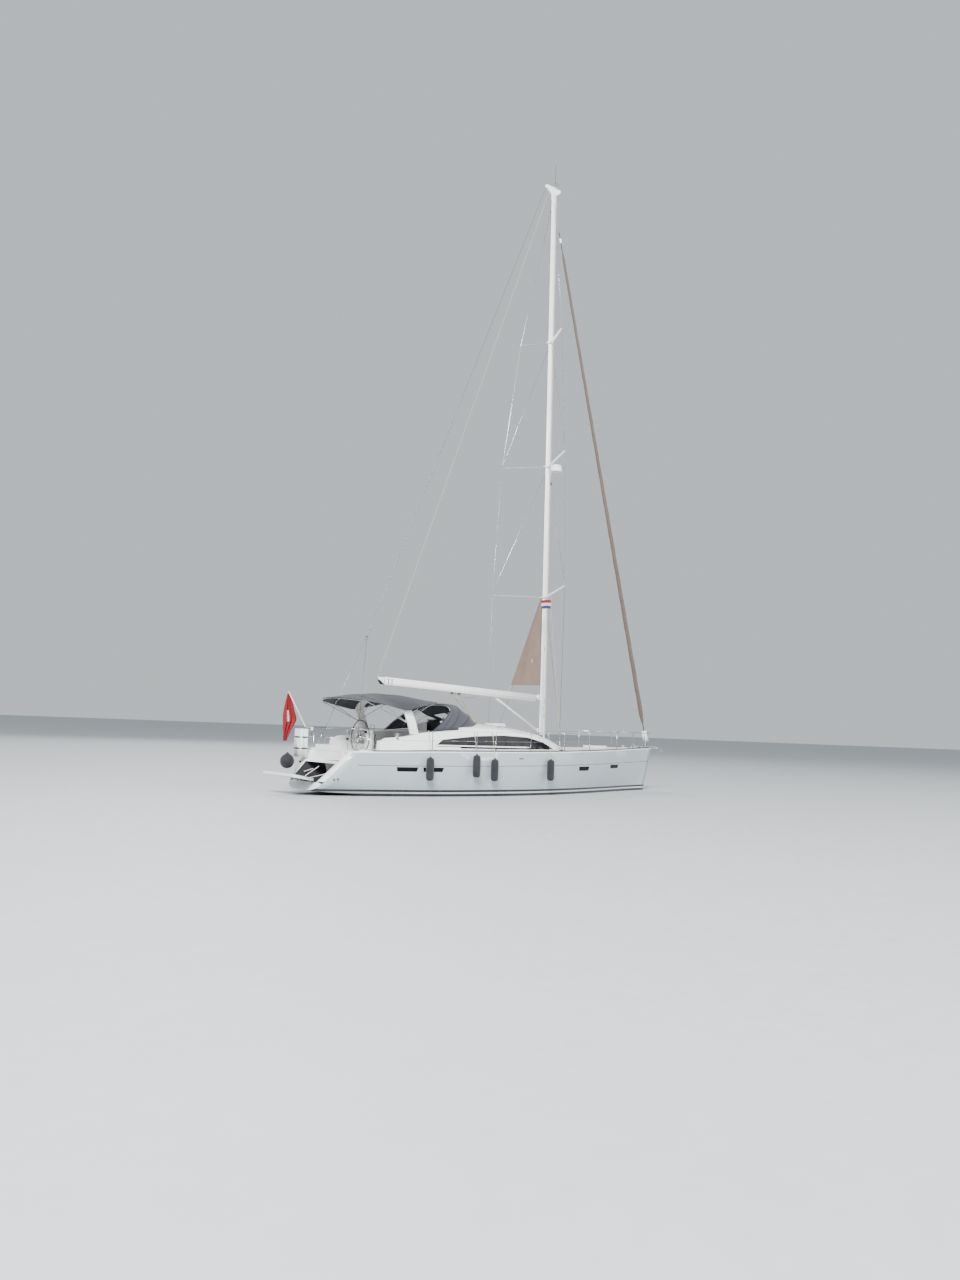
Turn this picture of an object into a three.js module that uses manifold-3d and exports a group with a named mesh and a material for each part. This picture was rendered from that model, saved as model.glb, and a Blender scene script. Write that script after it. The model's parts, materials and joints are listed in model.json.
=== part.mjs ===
// A cruising sailing yacht about 15 m long, afloat with her sails furled.
// Units are millimetres. X runs forward, Y to port and Z up.
// The origin lies on the waterline, on the centreline below the mast.
import * as THREE from "three";
import * as BufferGeometryUtils from "three/addons/utils/BufferGeometryUtils.js";
import Module from "manifold-3d";

const wasm = await Module();
wasm.setup();

// Driving dimensions

const SEAT_GAP = 0.3; // play left between two pieces that rest on each other
const PIN_PLAY = 0.8; // play round a hinge pin or a shaft
const SLIVER = 0.1; // edges left by a cut that are shorter than this are closed up

const DECK_EDGE_THICKNESS = 35;
const DECK_CAMBER = 0.05; // rise of the deck at the centreline over its half-breadth

// Hull stations. Each section is a cubic curve from the deck edge to the keel line:
// the side handle shapes the topsides, the floor handle the turn of the bilge.
// shear is how far the station leans aft for each millimetre below the deck.
const HULL_COLUMNS = ["deckX", "shear", "sheerZ", "deckHalf", "sideY", "sideZ", "floorY", "keelZ"];
const HULL_STATIONS = [
  [-8520, 0.80, 1280, 1360, 1040, 150, 880, 140],
  [-7900, 0.45, 1285, 1500, 1230, 20, 980, 10],
  [-7000, 0.18, 1305, 1720, 1520, -120, 1150, -170],
  [-6000, 0.06, 1330, 1900, 1780, -230, 1300, -340],
  [-4800, 0, 1345, 2010, 1940, -310, 1400, -490],
  [-3600, 0, 1360, 2060, 2000, -350, 1430, -580],
  [-2300, 0, 1375, 2060, 1990, -360, 1380, -620],
  [-1000, 0, 1395, 1940, 1830, -350, 1200, -620],
  [300, 0, 1425, 1730, 1560, -320, 920, -590],
  [1600, 0, 1455, 1430, 1210, -270, 600, -530],
  [2800, 0.03, 1490, 1060, 830, -210, 330, -450],
  [3900, 0.08, 1520, 700, 480, -130, 130, -360],
  [4900, 0.16, 1545, 320, 190, -60, 50, -250],
  [5680, 0.26, 1560, 40, 28, 100, 16, -40],
].map((row) => Object.fromEntries(row.map((value, i) => [HULL_COLUMNS[i], value])));
const HULL_STEPS = 16; // points down each side of a section
const TRANSOM_SHEAR = HULL_STATIONS[0].shear;

// Cockpit well, saloon well and the locker behind the transom door
const SOLE_Z = 1000;
const WELL = { aftX: -9700, foreX: -4720, halfWidth: 960 };
const ABOVE_ALL = 2600; // height that every cut through deck and roof reaches
const SALOON = { aftX: -4600, foreX: -1000, halfWidth: 1120, floorZ: 250 };
const LOCKER = { foreX: -8150, bottomZ: 400, topZ: 930, bottomHalf: 600, topHalf: 890 };

// Transom door, let down as a bathing platform and standing a little above level
const PLATFORM = {
  hingeX: -9250, hingeZ: 450, tilt: THREE.MathUtils.degToRad(9), length: 950, thickness: 76,
  innerHalf: 570, outerHalf: 870, taperEnd: 700, inset: 60,
};

// Deckhouse sections: half-breadth at the foot and at the roof edge, heights of edge and centre
const ROOF_WALL = 45;
const ROOF_FOOT_Z = 1300;
const ROOF_STATIONS = [
  { x: -4700, footHalf: 1480, edgeHalf: 1390, edgeZ: 2080, centreZ: 2290 },
  { x: -4000, footHalf: 1480, edgeHalf: 1390, edgeZ: 2110, centreZ: 2290 },
  { x: -3000, footHalf: 1470, edgeHalf: 1370, edgeZ: 2070, centreZ: 2260 },
  { x: -1800, footHalf: 1430, edgeHalf: 1310, edgeZ: 1930, centreZ: 2190 },
  { x: -900, footHalf: 1400, edgeHalf: 1240, edgeZ: 1730, centreZ: 2080 },
  { x: -300, footHalf: 1240, edgeHalf: 1040, edgeZ: 1640, centreZ: 1940 },
  { x: 150, footHalf: 920, edgeHalf: 720, edgeZ: 1580, centreZ: 1760 },
  { x: 560, footHalf: 380, edgeHalf: 240, edgeZ: 1500, centreZ: 1550 },
];
// Side window outline, in X and Z
const SIDE_WINDOW = [
  [-5560, 1500], [-5270, 1690], [-4100, 1830], [-2910, 1880], [-1830, 1830], [-1150, 1660],
  [-800, 1480], [-1810, 1520],
];
// The part of it that is cut through the deckhouse side, before the pane's overlap is taken off
const WINDOW_OPENING = [
  [-4600, 1540], [-4600, 1760], [-4100, 1830], [-2910, 1880], [-1830, 1830], [-1150, 1660], [-1810, 1540],
];
const PANE_OVERLAP = 45;
const PANE_THICKNESS = 8;

const HATCH_WAY = { aftX: -4690, foreX: -4150, halfWidth: 330, sillZ: 1505 };
const HATCH_RAIL = { foreX: -3560, y: 345, width: 30, bottomZ: 2225, topZ: 2306 };
const HATCH_LID = { aftX: -4715, foreX: -4130, halfWidth: 375, thickness: 35 };
const WASHBOARD = { x: -4718, thickness: 17, halfWidth: 370, topZ: 2255 };

// Cockpit moulding
const COAMING = {
  outerHalf: 1480, innerHalf: 1320, foreX: -4701, lean: 0.1154,
  top: [[-7700, 1400], [-7670, 1630], [-7400, 1720], [-6800, 1770], [-6070, 1910], [-4701, 2030]],
};
const BENCH = { aftX: -7000, innerHalf: 430, topZ: 1495 };
const BRIDGE_AFT_X = -5050;

// Steering
const PEDESTAL = { x: -7120, length: 300, width: 260, topZ: 1800 };
const WHEEL = { x: -7460, z: 1700, radius: 520, rim: 16, hubRadius: 48, shaftRadius: 18, spokes: 5 };
const RUDDER = {
  x: -7450, topZ: -190, bottomZ: -1950, stockRadius: 55, stockTopZ: 260,
  topChord: 720, bottomChord: 430, balance: 0.22, thickness: 0.14,
};

const WINCH_X = -7050;

// Helm seat to port, with its lid
const HELM_SEAT = { aftX: -8520, foreX: -8110, innerY: -50, outerY: 860, boxTopZ: 1265, lidTopZ: 1450 };

// Underwater gear
const KEEL = {
  rootX: -500, rootChord: 2300, rootZ: -480, shoulderZ: -800, rootThickness: 0.11,
  tipX: -900, tipChord: 1500, tipZ: -2150,
  bulbRadius: 230, bulbLength: 2600, bulbX: -1650, soleZ: -2330,
};
const SAILDRIVE = {
  x: -4750, chord: 300, width: 90, topZ: -380, bottomZ: -1010, podRadius: 75, podLength: 420,
};
const PROPELLER = {
  x: -5010, z: -930, radius: 235, hubRadius: 48, hubLength: 130, shaftRadius: 16, blades: 3,
};

// Mast and rig
const MAST = { length: 240, width: 130, footZ: 1700, topZ: 21850, rake: 0.011, rakeZ: 2000 };
const SPREADERS = [
  { name: "spreaders_lower", z: 6840, length: 2110 },
  { name: "spreaders_middle", z: 11580, length: 1830 },
  { name: "spreaders_upper", z: 16190, length: 1200 },
];
const SPREADER_SWEEP = THREE.MathUtils.degToRad(24);
const SPREADER_RISE = THREE.MathUtils.degToRad(4);
const SHROUD_RADIUS = 6;
const SCREW_RADIUS = 14; // of the bottle screws at the wires' feet
const CHAINPLATE = { x: -900, y: 1872 };
const LOWER_CHAINPLATE_X = -760;
const CAP_SHROUD_TOP_Z = 21500;
const CRANE = { aft: 400, fore: 290, height: 250, tipHeight: 110, halfWidth: 42 };
const BACKSTAY = { radius: 6, top: [-600, 22020], split: [-7390, 4800], foot: [-8300, 1200], slotRadius: 32 };

const FORESTAY = { top: [95, 20500], tang: [-110, 21218], foot: [5430, 1800], foilRadius: 20, wireRadius: 7 };
const GENOA = { top: [272, 19880], foot: [5236, 2480], topRadius: 48, footRadius: 92 };
const FURLER = { top: [5306, 2240], foot: [5412, 1870], radius: 105 };

const BOOM = {
  hingeX: -215, goosenecks: 3290, length: 6480, depth: 240, width: 150, noseLength: 150,
  drop: 57, // of the nose's centreline below the gooseneck
  riseAngle: THREE.MathUtils.degToRad(2.8),
};
const VANG = { boomX: -2230, boomZ: 3225, footZ: 2130, radius: 38 };
const MAIN_CLEW = {
  aftX: -1500, bottomZ: 3640, topZ: 6780, thickness: 14, luffGap: 6,
  strapX: -1650, strapZ: 3380, strapRadius: 6,
};
const GOOSENECK_PIN = 14;

const RADAR = { x: 300, z: 11490, radius: 225, height: 230 };

// Deck gear
const STANCHION_XS = [-6050, -4450, -3710, -2250, -600, 840];
const STANCHION = { height: 620, radius: 13, inset: 70, wireRadius: 4, midHeight: 320 };
const PUSHPIT = { radius: 14, foreX: -7900, topZ: 1955 };
const PULPIT = { radius: 14, aftX: 2780, aftY: 980, topZ: 2170 };
const RAFT = { x: -8870, y: 1116, length: 280, width: 460, bottomZ: 1050, topZ: 1900 };
const CLEAT_PADS = [
  { x: 4550, y: 330 }, { x: 4550, y: -330 }, { x: -8130, y: 1330 }, { x: -8130, y: -1330 },
];
const CLEAT_PAD = { length: 260, width: 80, height: 24 };
const HATCHES = [
  { name: "foredeck_hatch", x: 2650, size: 600, rise: 30, shaftZ: 500 },
  { name: "saloon_hatch", x: -2150, size: 480, rise: 46, shaftZ: 1800 },
];
const [FOREDECK_HATCH, SALOON_HATCH] = HATCHES;
const HATCH_RIM = 45;
const HATCH_LID_THICKNESS = 32;
const HATCH_CLEARANCE = 5;
const HATCH_PIN = 6;

// Canvas
const CANVAS = 18;
const BIMINI_BOWS = [
  { centreX: -8550, edgeX: -8200, centreZ: 2880, edgeZ: 2780, half: 1400 },
  { centreX: -7850, edgeX: -7550, centreZ: 3000, edgeZ: 2690, half: 1500 },
  { centreX: -7050, edgeX: -6840, centreZ: 3070, edgeZ: 2570, half: 1530 },
  { centreX: -6250, edgeX: -6350, centreZ: 3055, edgeZ: 2660, half: 1500 },
  { centreX: -4820, edgeX: -5860, centreZ: 2900, edgeZ: 2790, half: 1330 },
];
const HOOD_BOWS = [
  { centreX: -3080, edgeX: -3500, half: 1290 },
  { centreX: -3700, edgeX: -4050, centreZ: 2610, half: 1330 },
  { centreX: -4100, edgeX: -4690, centreZ: 2850, half: 1350 },
  { centreX: -4610, edgeX: -5250, centreZ: 2860, half: 1365 },
  { centreX: -4660, edgeX: -5890, centreZ: 2830, half: 1365 },
];
const HOOD_LIFT = 10; // of the hood's hem above what it lies on
const HOOD_STUD = 7; // radius of the studs that hold the hem down
const ARCH = { footX: -6420, kneeX: -6700, topX: -6760, width: 290, thickness: 60, half: 1390 };

const FENDERS = [{ x: -6200, z: 840 }, { x: -4570, z: 945 }, { x: -3870, z: 830 }, { x: -1450, z: 830 }];
const FENDER = { radius: 122, length: 680 };
const BALL_FENDER = {
  x: -9255, y: 1219, z: 910, radius: 225, neck: 60, cordTop: [-8995, 1200, 1560], cordRadius: 7,
};

const PAINT = {
  white: { color: 0xe9e9ea, roughness: 0.35, metalness: 0.0 },
  topsides: { color: 0xc9ced1, roughness: 0.3, metalness: 0.0 },
  antifouling: { color: 0x171a26, roughness: 0.7, metalness: 0.0 },
  glass: { color: 0x26252d, roughness: 0.12, metalness: 0.0 },
  steel: { color: 0xb9bcc0, roughness: 0.25, metalness: 1.0 },
  alloy: { color: 0xe6e6e8, roughness: 0.4, metalness: 0.2 },
  bronze: { color: 0x9c7a42, roughness: 0.4, metalness: 0.9 },
  canvas: { color: 0x6f7179, roughness: 0.9, metalness: 0.0 },
  sailcloth: { color: 0xbfa392, roughness: 0.9, metalness: 0.0 },
  teak: { color: 0xb39877, roughness: 0.8, metalness: 0.0 },
  charcoal: { color: 0x3c3c44, roughness: 0.9, metalness: 0.0 },
  red: { color: 0xb01f2e, roughness: 0.85, metalness: 0.0 },
};

// Small tools for solids

const vec = (x, y, z) => new THREE.Vector3(x, y, z);

/** The closed solid of a geometry, with its shared corners merged. */
function toSolid(geometry) {
  const bare = geometry.clone();
  for (const name of Object.keys(bare.attributes)) {
    if (name !== "position") bare.deleteAttribute(name);
  }
  const merged = BufferGeometryUtils.mergeVertices(bare, 1e-3);
  const mesh = new wasm.Mesh({
    numProp: 3,
    vertProperties: new Float32Array(merged.attributes.position.array),
    triVerts: new Uint32Array(merged.index.array),
  });
  return new wasm.Manifold(mesh);
}

/** A geometry of the surface of a solid. */
function toGeometry(solid) {
  const mesh = solid.getMesh();
  const geometry = new THREE.BufferGeometry();
  geometry.setAttribute("position", new THREE.BufferAttribute(new Float32Array(mesh.vertProperties), 3));
  geometry.setIndex(new THREE.BufferAttribute(new Uint32Array(mesh.triVerts), 1));
  geometry.computeVertexNormals();
  return geometry;
}

const join = (...pieces) => pieces.map(asSolid).reduce((whole, piece) => whole.add(piece));
const cut = (body, ...cutters) => cutters.map(asSolid).reduce((rest, c) => rest.subtract(c), asSolid(body));
const asSolid = (piece) => (piece.isBufferGeometry ? toSolid(piece) : piece);
const shifted = (piece, x, y, z) => asSolid(piece).translate([x, y, z]);
const mirrored = (piece) => asSolid(piece).mirror([0, 1, 0]);

/** Skin over a row of rings with the same number of points each. */
function skin(rings) {
  const count = rings[0].length;
  const triangles = [];
  for (let r = 0; r + 1 < rings.length; r += 1) {
    for (let i = 0; i < count; i += 1) {
      const a = r * count + i;
      const b = r * count + ((i + 1) % count);
      triangles.push(a, b, a + count, b, b + count, a + count);
    }
  }
  return triangles;
}

/** The closed geometry of a list of points and triangles, turned so that it faces out. */
function closedGeometry(points, triangles) {
  const geometry = new THREE.BufferGeometry().setFromPoints(points);
  geometry.setIndex(signedVolume(points, triangles) < 0 ? triangles.reverse() : triangles);
  return geometry;
}

/** A skin with end caps that fan out from the middle, for sections that are round or boxy. */
function loft(rings) {
  const count = rings[0].length;
  const points = rings.flat();
  const triangles = skin(rings);
  for (const [ring, flip] of [[0, true], [rings.length - 1, false]]) {
    const centre = rings[ring].reduce((sum, p) => sum.add(p), vec(0, 0, 0)).divideScalar(count);
    const hub = points.push(centre) - 1;
    for (let i = 0; i < count; i += 1) {
      const a = ring * count + i;
      const b = ring * count + ((i + 1) % count);
      triangles.push(...(flip ? [b, a, hub] : [a, b, hub]));
    }
  }
  return closedGeometry(points, triangles);
}

/** A skin with end caps that join upper and lower points, for bowed cloth sections. */
function clothLoft(rings) {
  const count = rings[0].length;
  const triangles = skin(rings);
  for (const [ring, flip] of [[0, true], [rings.length - 1, false]]) {
    const start = ring * count;
    for (let i = 0; i < count / 2 - 1; i += 1) {
      const [a, b, c, d] = [i, i + 1, count - 2 - i, count - 1 - i].map((k) => start + k);
      triangles.push(...(flip ? [b, a, c, c, a, d] : [a, b, c, a, c, d]));
    }
  }
  return closedGeometry(rings.flat(), triangles);
}

function signedVolume(points, triangles) {
  let volume = 0;
  for (let i = 0; i < triangles.length; i += 3) {
    const [a, b, c] = [points[triangles[i]], points[triangles[i + 1]], points[triangles[i + 2]]];
    volume += a.dot(b.clone().cross(c)) / 6;
  }
  return volume;
}

/** A box between two opposite corners. */
function block(x0, y0, z0, x1, y1, z1) {
  const box = new THREE.BoxGeometry(Math.abs(x1 - x0), Math.abs(y1 - y0), Math.abs(z1 - z0));
  return box.translate((x0 + x1) / 2, (y0 + y1) / 2, (z0 + z1) / 2);
}

/** A round bar, or a cone frustum, from one point to another. */
function bar(from, to, radius, endRadius = radius, sides = 10) {
  const length = from.distanceTo(to);
  const geometry = new THREE.CylinderGeometry(endRadius, radius, length, sides);
  const turn = new THREE.Quaternion().setFromUnitVectors(vec(0, 1, 0), to.clone().sub(from).normalize());
  const middle = from.clone().lerp(to, 0.5);
  return geometry.applyQuaternion(turn).translate(middle.x, middle.y, middle.z);
}

/** Bars along a row of points, with a ball at each inner corner. */
function railing(points, radius, sides = 8) {
  const balls = points.slice(1, -1).map((point) => (
    toSolid(new THREE.SphereGeometry(radius * 1.04, sides, 4).translate(point.x, point.y, point.z))));
  return join(wire(points, radius, sides), ...balls);
}

/** Bars along a row of points. */
function wire(points, radius, sides = 6) {
  return join(...points.slice(1).map((point, i) => bar(points[i], point, radius, radius, sides)));
}

/** An outline in X and Z, drawn out sideways from one Y to another. */
function sidePlate(outline, y0, y1) {
  const shape = new THREE.Shape(outline.map(([x, z]) => new THREE.Vector2(x, z)));
  const geometry = new THREE.ExtrudeGeometry(shape, { depth: Math.abs(y1 - y0), bevelEnabled: false });
  return geometry.rotateX(Math.PI / 2).translate(0, Math.max(y0, y1), 0);
}

/** An outline in Y and Z, drawn out along X from one place to another. */
function crossPlate(outline, x0, x1) {
  const shape = new THREE.Shape(outline.map(([y, z]) => new THREE.Vector2(y, z)));
  const geometry = new THREE.ExtrudeGeometry(shape, { depth: Math.abs(x1 - x0), bevelEnabled: false });
  return geometry.rotateX(Math.PI / 2).rotateZ(Math.PI / 2).translate(Math.min(x0, x1), 0, 0);
}

/** A symmetric foil section lying level at height z, its nose at x = noseX. */
function foilRing(noseX, chord, thickness, z, steps = 9) {
  const side = [];
  for (let i = 0; i <= steps; i += 1) {
    const s = (1 - Math.cos((Math.PI * i) / steps)) / 2;
    const half = 5 * thickness * (0.2969 * Math.sqrt(s) - 0.126 * s - 0.3516 * s ** 2 + 0.2843 * s ** 3
      - 0.0996 * s ** 4);
    side.push([noseX - chord * s, Math.max(chord * half, i === 0 ? 0 : 4)]);
  }
  const port = side.map(([x, y]) => vec(x, y, z));
  const starboard = side.slice(1).reverse().map(([x, y]) => vec(x, -y, z));
  return [...port, ...starboard];
}

/** A value read between the rows of a table by straight lines. */
function between(rows, key, x, column) {
  const last = rows.length - 1;
  const i = Math.min(Math.max(rows.findIndex((row) => row[key] > x), 1), last);
  const [a, b] = x >= rows[last][key] ? [rows[last - 1], rows[last]] : [rows[i - 1], rows[i]];
  const t = THREE.MathUtils.clamp((x - a[key]) / (b[key] - a[key]), 0, 1);
  return THREE.MathUtils.lerp(a[column], b[column], t);
}

/** A table with rows added between its own, on smooth curves through each column. */
function refined(rows, key, steps) {
  const slope = (i, column) => {
    const [before, after] = [rows[Math.max(i - 1, 0)], rows[Math.min(i + 1, rows.length - 1)]];
    return (after[column] - before[column]) / (after[key] - before[key]);
  };
  const fine = rows.slice(0, -1).flatMap((row, i) => Array.from({ length: steps }, (_, k) => {
    const t = k / steps;
    const next = rows[i + 1];
    const run = next[key] - row[key];
    const [rise, fall] = [t * t * (3 - 2 * t), t * (1 - t)];
    return Object.fromEntries(Object.keys(row).map((column) => [
      column,
      row[column] + (next[column] - row[column]) * rise
        + run * fall * (slope(i, column) * (1 - t) - slope(i + 1, column) * t),
    ]));
  }));
  return [...fine, rows.at(-1)];
}

const HULL = refined(HULL_STATIONS, "deckX", 3);
const ROOF = refined(ROOF_STATIONS, "x", 3);
const sheerAt = (x) => between(HULL, "deckX", x, "sheerZ");
const deckHalfAt = (x) => between(HULL, "deckX", x, "deckHalf");

/** Height of the deck's upper face. */
function deckTop(x, y) {
  const half = deckHalfAt(x);
  return sheerAt(x) + DECK_EDGE_THICKNESS + DECK_CAMBER * half * (1 - (y / half) ** 2);
}

const mastPoint = (z, x = 0) => vec(x - (z - MAST.rakeZ) * MAST.rake, 0, z);

const piece = (name, paint, solid) => {
  const geometry = toGeometry(asSolid(solid).asOriginal().simplify(SLIVER));
  const mesh = new THREE.Mesh(geometry, new THREE.MeshStandardMaterial(PAINT[paint]));
  mesh.name = name;
  return mesh;
};

// Hull, deck and the wells cut in them

function hullSection(station) {
  const { deckX, shear, sheerZ, deckHalf, sideY, sideZ, floorY, keelZ } = station;
  const curve = new THREE.CubicBezierCurve(
    new THREE.Vector2(deckHalf, sheerZ), new THREE.Vector2(sideY, sideZ),
    new THREE.Vector2(floorY, keelZ), new THREE.Vector2(0, keelZ));
  const port = curve.getPoints(HULL_STEPS).map((p) => vec(deckX - shear * (sheerZ - p.y), p.x, p.y));
  const starboard = port.slice(0, -1).map((p) => vec(p.x, -p.y, p.z)).reverse();
  return [...port, ...starboard];
}

function deckSection({ deckX, sheerZ, deckHalf }, floorRise = SEAT_GAP) {
  const top = [];
  const steps = 10;
  for (let i = 0; i <= steps; i += 1) {
    const y = deckHalf * (1 - (2 * i) / steps);
    top.push(vec(deckX, y, deckTop(deckX, y)));
  }
  const floor = sheerZ + floorRise;
  return [...top, vec(deckX, -deckHalf, floor), vec(deckX, deckHalf, floor)];
}

const wellCutter = (inset = 0) => block(
  WELL.aftX, -WELL.halfWidth + inset, SOLE_Z + inset, WELL.foreX - inset, WELL.halfWidth - inset, ABOVE_ALL);
const saloonCutter = () => block(
  SALOON.aftX, -SALOON.halfWidth, SALOON.floorZ, SALOON.foreX, SALOON.halfWidth, ABOVE_ALL);

/** The plane of the transom: its foot, its upward direction and its outward normal. */
const transomUp = vec(TRANSOM_SHEAR, 0, 1).normalize();
const doorClosedAngle = Math.atan2(transomUp.z, transomUp.x);

/** The platform's plan, drawn with X along its length from the hinge. */
function platformOutline(margin) {
  const { inset, length, taperEnd, innerHalf, outerHalf } = PLATFORM;
  const port = [
    [inset - margin, innerHalf + margin],
    [taperEnd, outerHalf + margin],
    [length + margin, outerHalf + margin],
  ];
  return [...port, ...port.map(([x, y]) => [x, -y]).reverse()];
}

function platformPlate(margin) {
  const shape = new THREE.Shape(platformOutline(margin).map(([x, y]) => new THREE.Vector2(x, y)));
  const depth = PLATFORM.thickness + 2 * margin;
  return new THREE.ExtrudeGeometry(shape, { depth, bevelEnabled: false }).translate(0, 0, -depth / 2);
}

/** The room that the closed door needs in the transom, with 12 mm to spare. */
function doorPocket() {
  const plate = platformPlate(12);
  const closed = plate.rotateY(-doorClosedAngle).translate(PLATFORM.hingeX, 0, PLATFORM.hingeZ);
  return toSolid(closed);
}

function makeHullPieces() {
  const fullHull = toSolid(loft(HULL.map(hullSection)));
  const fullDeck = toSolid(loft(HULL.map((station) => deckSection(station))));
  const sunkDeck = loft(HULL.map((station) => deckSection(station, -DECK_EDGE_THICKNESS)));
  const { foreX, bottomZ, topZ, bottomHalf, topHalf } = LOCKER;
  const locker = crossPlate(
    [[-bottomHalf, bottomZ], [bottomHalf, bottomZ], [topHalf, topZ], [-topHalf, topZ]], WELL.aftX, foreX);
  const stockBore = bar(vec(RUDDER.x, 0, -600), vec(RUDDER.x, 0, RUDDER.stockTopZ + 20),
    RUDDER.stockRadius + PIN_PLAY, RUDDER.stockRadius + PIN_PLAY, 24);
  const hingeBed = bar(vec(PLATFORM.hingeX, -PLATFORM.innerHalf - 20, PLATFORM.hingeZ),
    vec(PLATFORM.hingeX, PLATFORM.innerHalf + 20, PLATFORM.hingeZ), 75, 75, 16);
  const shaft = hatchShaft(FOREDECK_HATCH);
  const hull = cut(fullHull, wellCutter(), saloonCutter(), locker, stockBore, doorPocket(), hingeBed, shaft);
  const deck = cut(fullDeck, wellCutter(), saloonCutter(), doorPocket(), shaft);
  const pads = CLEAT_PADS.map(({ x, y }) => {
    const z = deckTop(x, Math.abs(y) + CLEAT_PAD.width / 2);
    return block(x - CLEAT_PAD.length / 2, y - CLEAT_PAD.width / 2, z - 14,
      x + CLEAT_PAD.length / 2, y + CLEAT_PAD.width / 2, z + CLEAT_PAD.height);
  });
  const bed = cut(shifted(join(fullHull, sunkDeck), 0, 0, SEAT_GAP), wellCutter(SEAT_GAP));
  return { fullHull, bed, hull, deck: join(deck, ...pads) };
}

// Deckhouse

function roofSection({ x, footHalf, edgeHalf, edgeZ, centreZ }, inset) {
  const steps = 8;
  const round = 0.9; // where the side turns into the roof, as a share of the edge's half-breadth
  const roof = [];
  for (let i = 0; i <= steps; i += 1) {
    const y = (edgeHalf * round - inset) * (1 - (2 * i) / steps);
    const rise = (centreZ - edgeZ) * (1 - (y / (edgeHalf - inset)) ** 2);
    roof.push(vec(x, y, edgeZ + 18 + rise * 0.9 - inset));
  }
  const sides = [
    vec(x, -edgeHalf + inset, edgeZ - inset), vec(x, -footHalf + inset, ROOF_FOOT_Z),
    vec(x, footHalf - inset, ROOF_FOOT_Z), vec(x, edgeHalf - inset, edgeZ - inset),
  ];
  return [...roof, ...sides];
}

function makeRoof(bed) {
  const outer = loft(ROOF.map((station) => roofSection(station, 0)));
  const innerRows = ROOF.map((row, i) => ({
    ...row, x: row.x + (i === 0 ? ROOF_WALL : 0) - (i === ROOF.length - 1 ? 2 * ROOF_WALL : 0) }));
  const inner = loft(innerRows.map((station) => roofSection(station, ROOF_WALL)));
  const windows = sidePlate(insetOutline(WINDOW_OPENING, PANE_OVERLAP), -1700, 1700);
  const way = block(HATCH_WAY.aftX - 60, -HATCH_WAY.halfWidth, HATCH_WAY.sillZ,
    SALOON.aftX, HATCH_WAY.halfWidth, ABOVE_ALL);
  const skylight = block(HATCH_WAY.aftX - 60, -HATCH_WAY.halfWidth, 2100, HATCH_WAY.foreX,
    HATCH_WAY.halfWidth, ABOVE_ALL);
  const { y, width, bottomZ, topZ, foreX } = HATCH_RAIL;
  const rails = [-1, 1].map((side) => block(
    ROOF_STATIONS[0].x, side * y - width / 2, bottomZ, foreX, side * y + width / 2, topZ));
  const frame = hatchFrame(SALOON_HATCH, roofHeight(SALOON_HATCH.x));
  const shell = cut(outer, inner, windows, way, skylight, hatchShaft(SALOON_HATCH));
  return cut(join(shell, ...rails, frame), bed);
}

const roofHeight = (x) => between(ROOF, "x", x, "centreZ");

/** Moves each corner of a convex outline towards the outline's middle. */
function insetOutline(outline, inset) {
  const share = 1 / outline.length;
  const middle = outline.reduce(([sx, sz], [x, z]) => [sx + x * share, sz + z * share], [0, 0]);
  return outline.map(([x, z]) => {
    const away = Math.hypot(x - middle[0], z - middle[1]);
    const keep = (away - inset) / away;
    return [middle[0] + (x - middle[0]) * keep, middle[1] + (z - middle[1]) * keep];
  });
}

/** A dark pane laid on the deckhouse side, which leans inwards. */
function makePane(side, wall, bed) {
  const plate = sidePlate(SIDE_WINDOW, side * 1250, side * 1600);
  const skin = cut(
    shifted(wall, 0, side * (PANE_THICKNESS + SEAT_GAP), 0), shifted(wall, 0, side * SEAT_GAP, 0));
  return cut(toSolid(plate).intersect(skin), bed);
}

// Hatches

/** Two lugs with a pin between them, along Y, and the barrel that turns on the pin. */
function hinge(x, z, halfLength, pinRadius, dropTo) {
  const lug = 16;
  const pin = bar(vec(x, -halfLength - lug, z), vec(x, halfLength + lug, z), pinRadius, pinRadius, 16);
  const half = pinRadius * 1.7;
  const lugs = [-1, 1].map((side) => block(
    x - half, side * (halfLength + 2), dropTo, x + half, side * (halfLength + lug), z + pinRadius));
  const barrel = bar(vec(x, -halfLength, z), vec(x, halfLength, z), pinRadius * 2, pinRadius * 2, 16);
  const bore = bar(vec(x, -halfLength - 5, z), vec(x, halfLength + 5, z), pinRadius + PIN_PLAY,
    pinRadius + PIN_PLAY, 24);
  return { fixed: join(pin, ...lugs), barrel: toSolid(barrel), bore: toSolid(bore) };
}

const hatchHinge = (hatch, baseZ) => {
  const z = baseZ + hatch.rise + HATCH_CLEARANCE + HATCH_LID_THICKNESS / 2;
  return { x: hatch.x + hatch.size / 2 + HATCH_PIN * 2 + 8, z, halfLength: hatch.size / 5 };
};

/** The way through the deck below a hatch lid. */
function hatchShaft({ x, size, shaftZ }) {
  const half = size / 2 - HATCH_RIM;
  return block(x - half, -half, shaftZ, x + half, half, ABOVE_ALL);
}

function hatchFrame(hatch, baseZ) {
  const half = hatch.size / 2;
  const top = baseZ + hatch.rise;
  const { x, z, halfLength } = hatchHinge(hatch, baseZ);
  const ring = block(hatch.x - half, -half, baseZ - 60, x + 22, half, top);
  const parts = hinge(x, z, halfLength, HATCH_PIN, top - 4);
  const relief = block(x - 20, -halfLength - 2, z - 20, x + 40, halfLength + 2, z + 40);
  return join(cut(ring, relief, hatchShaft(hatch)), parts.fixed);
}

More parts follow.
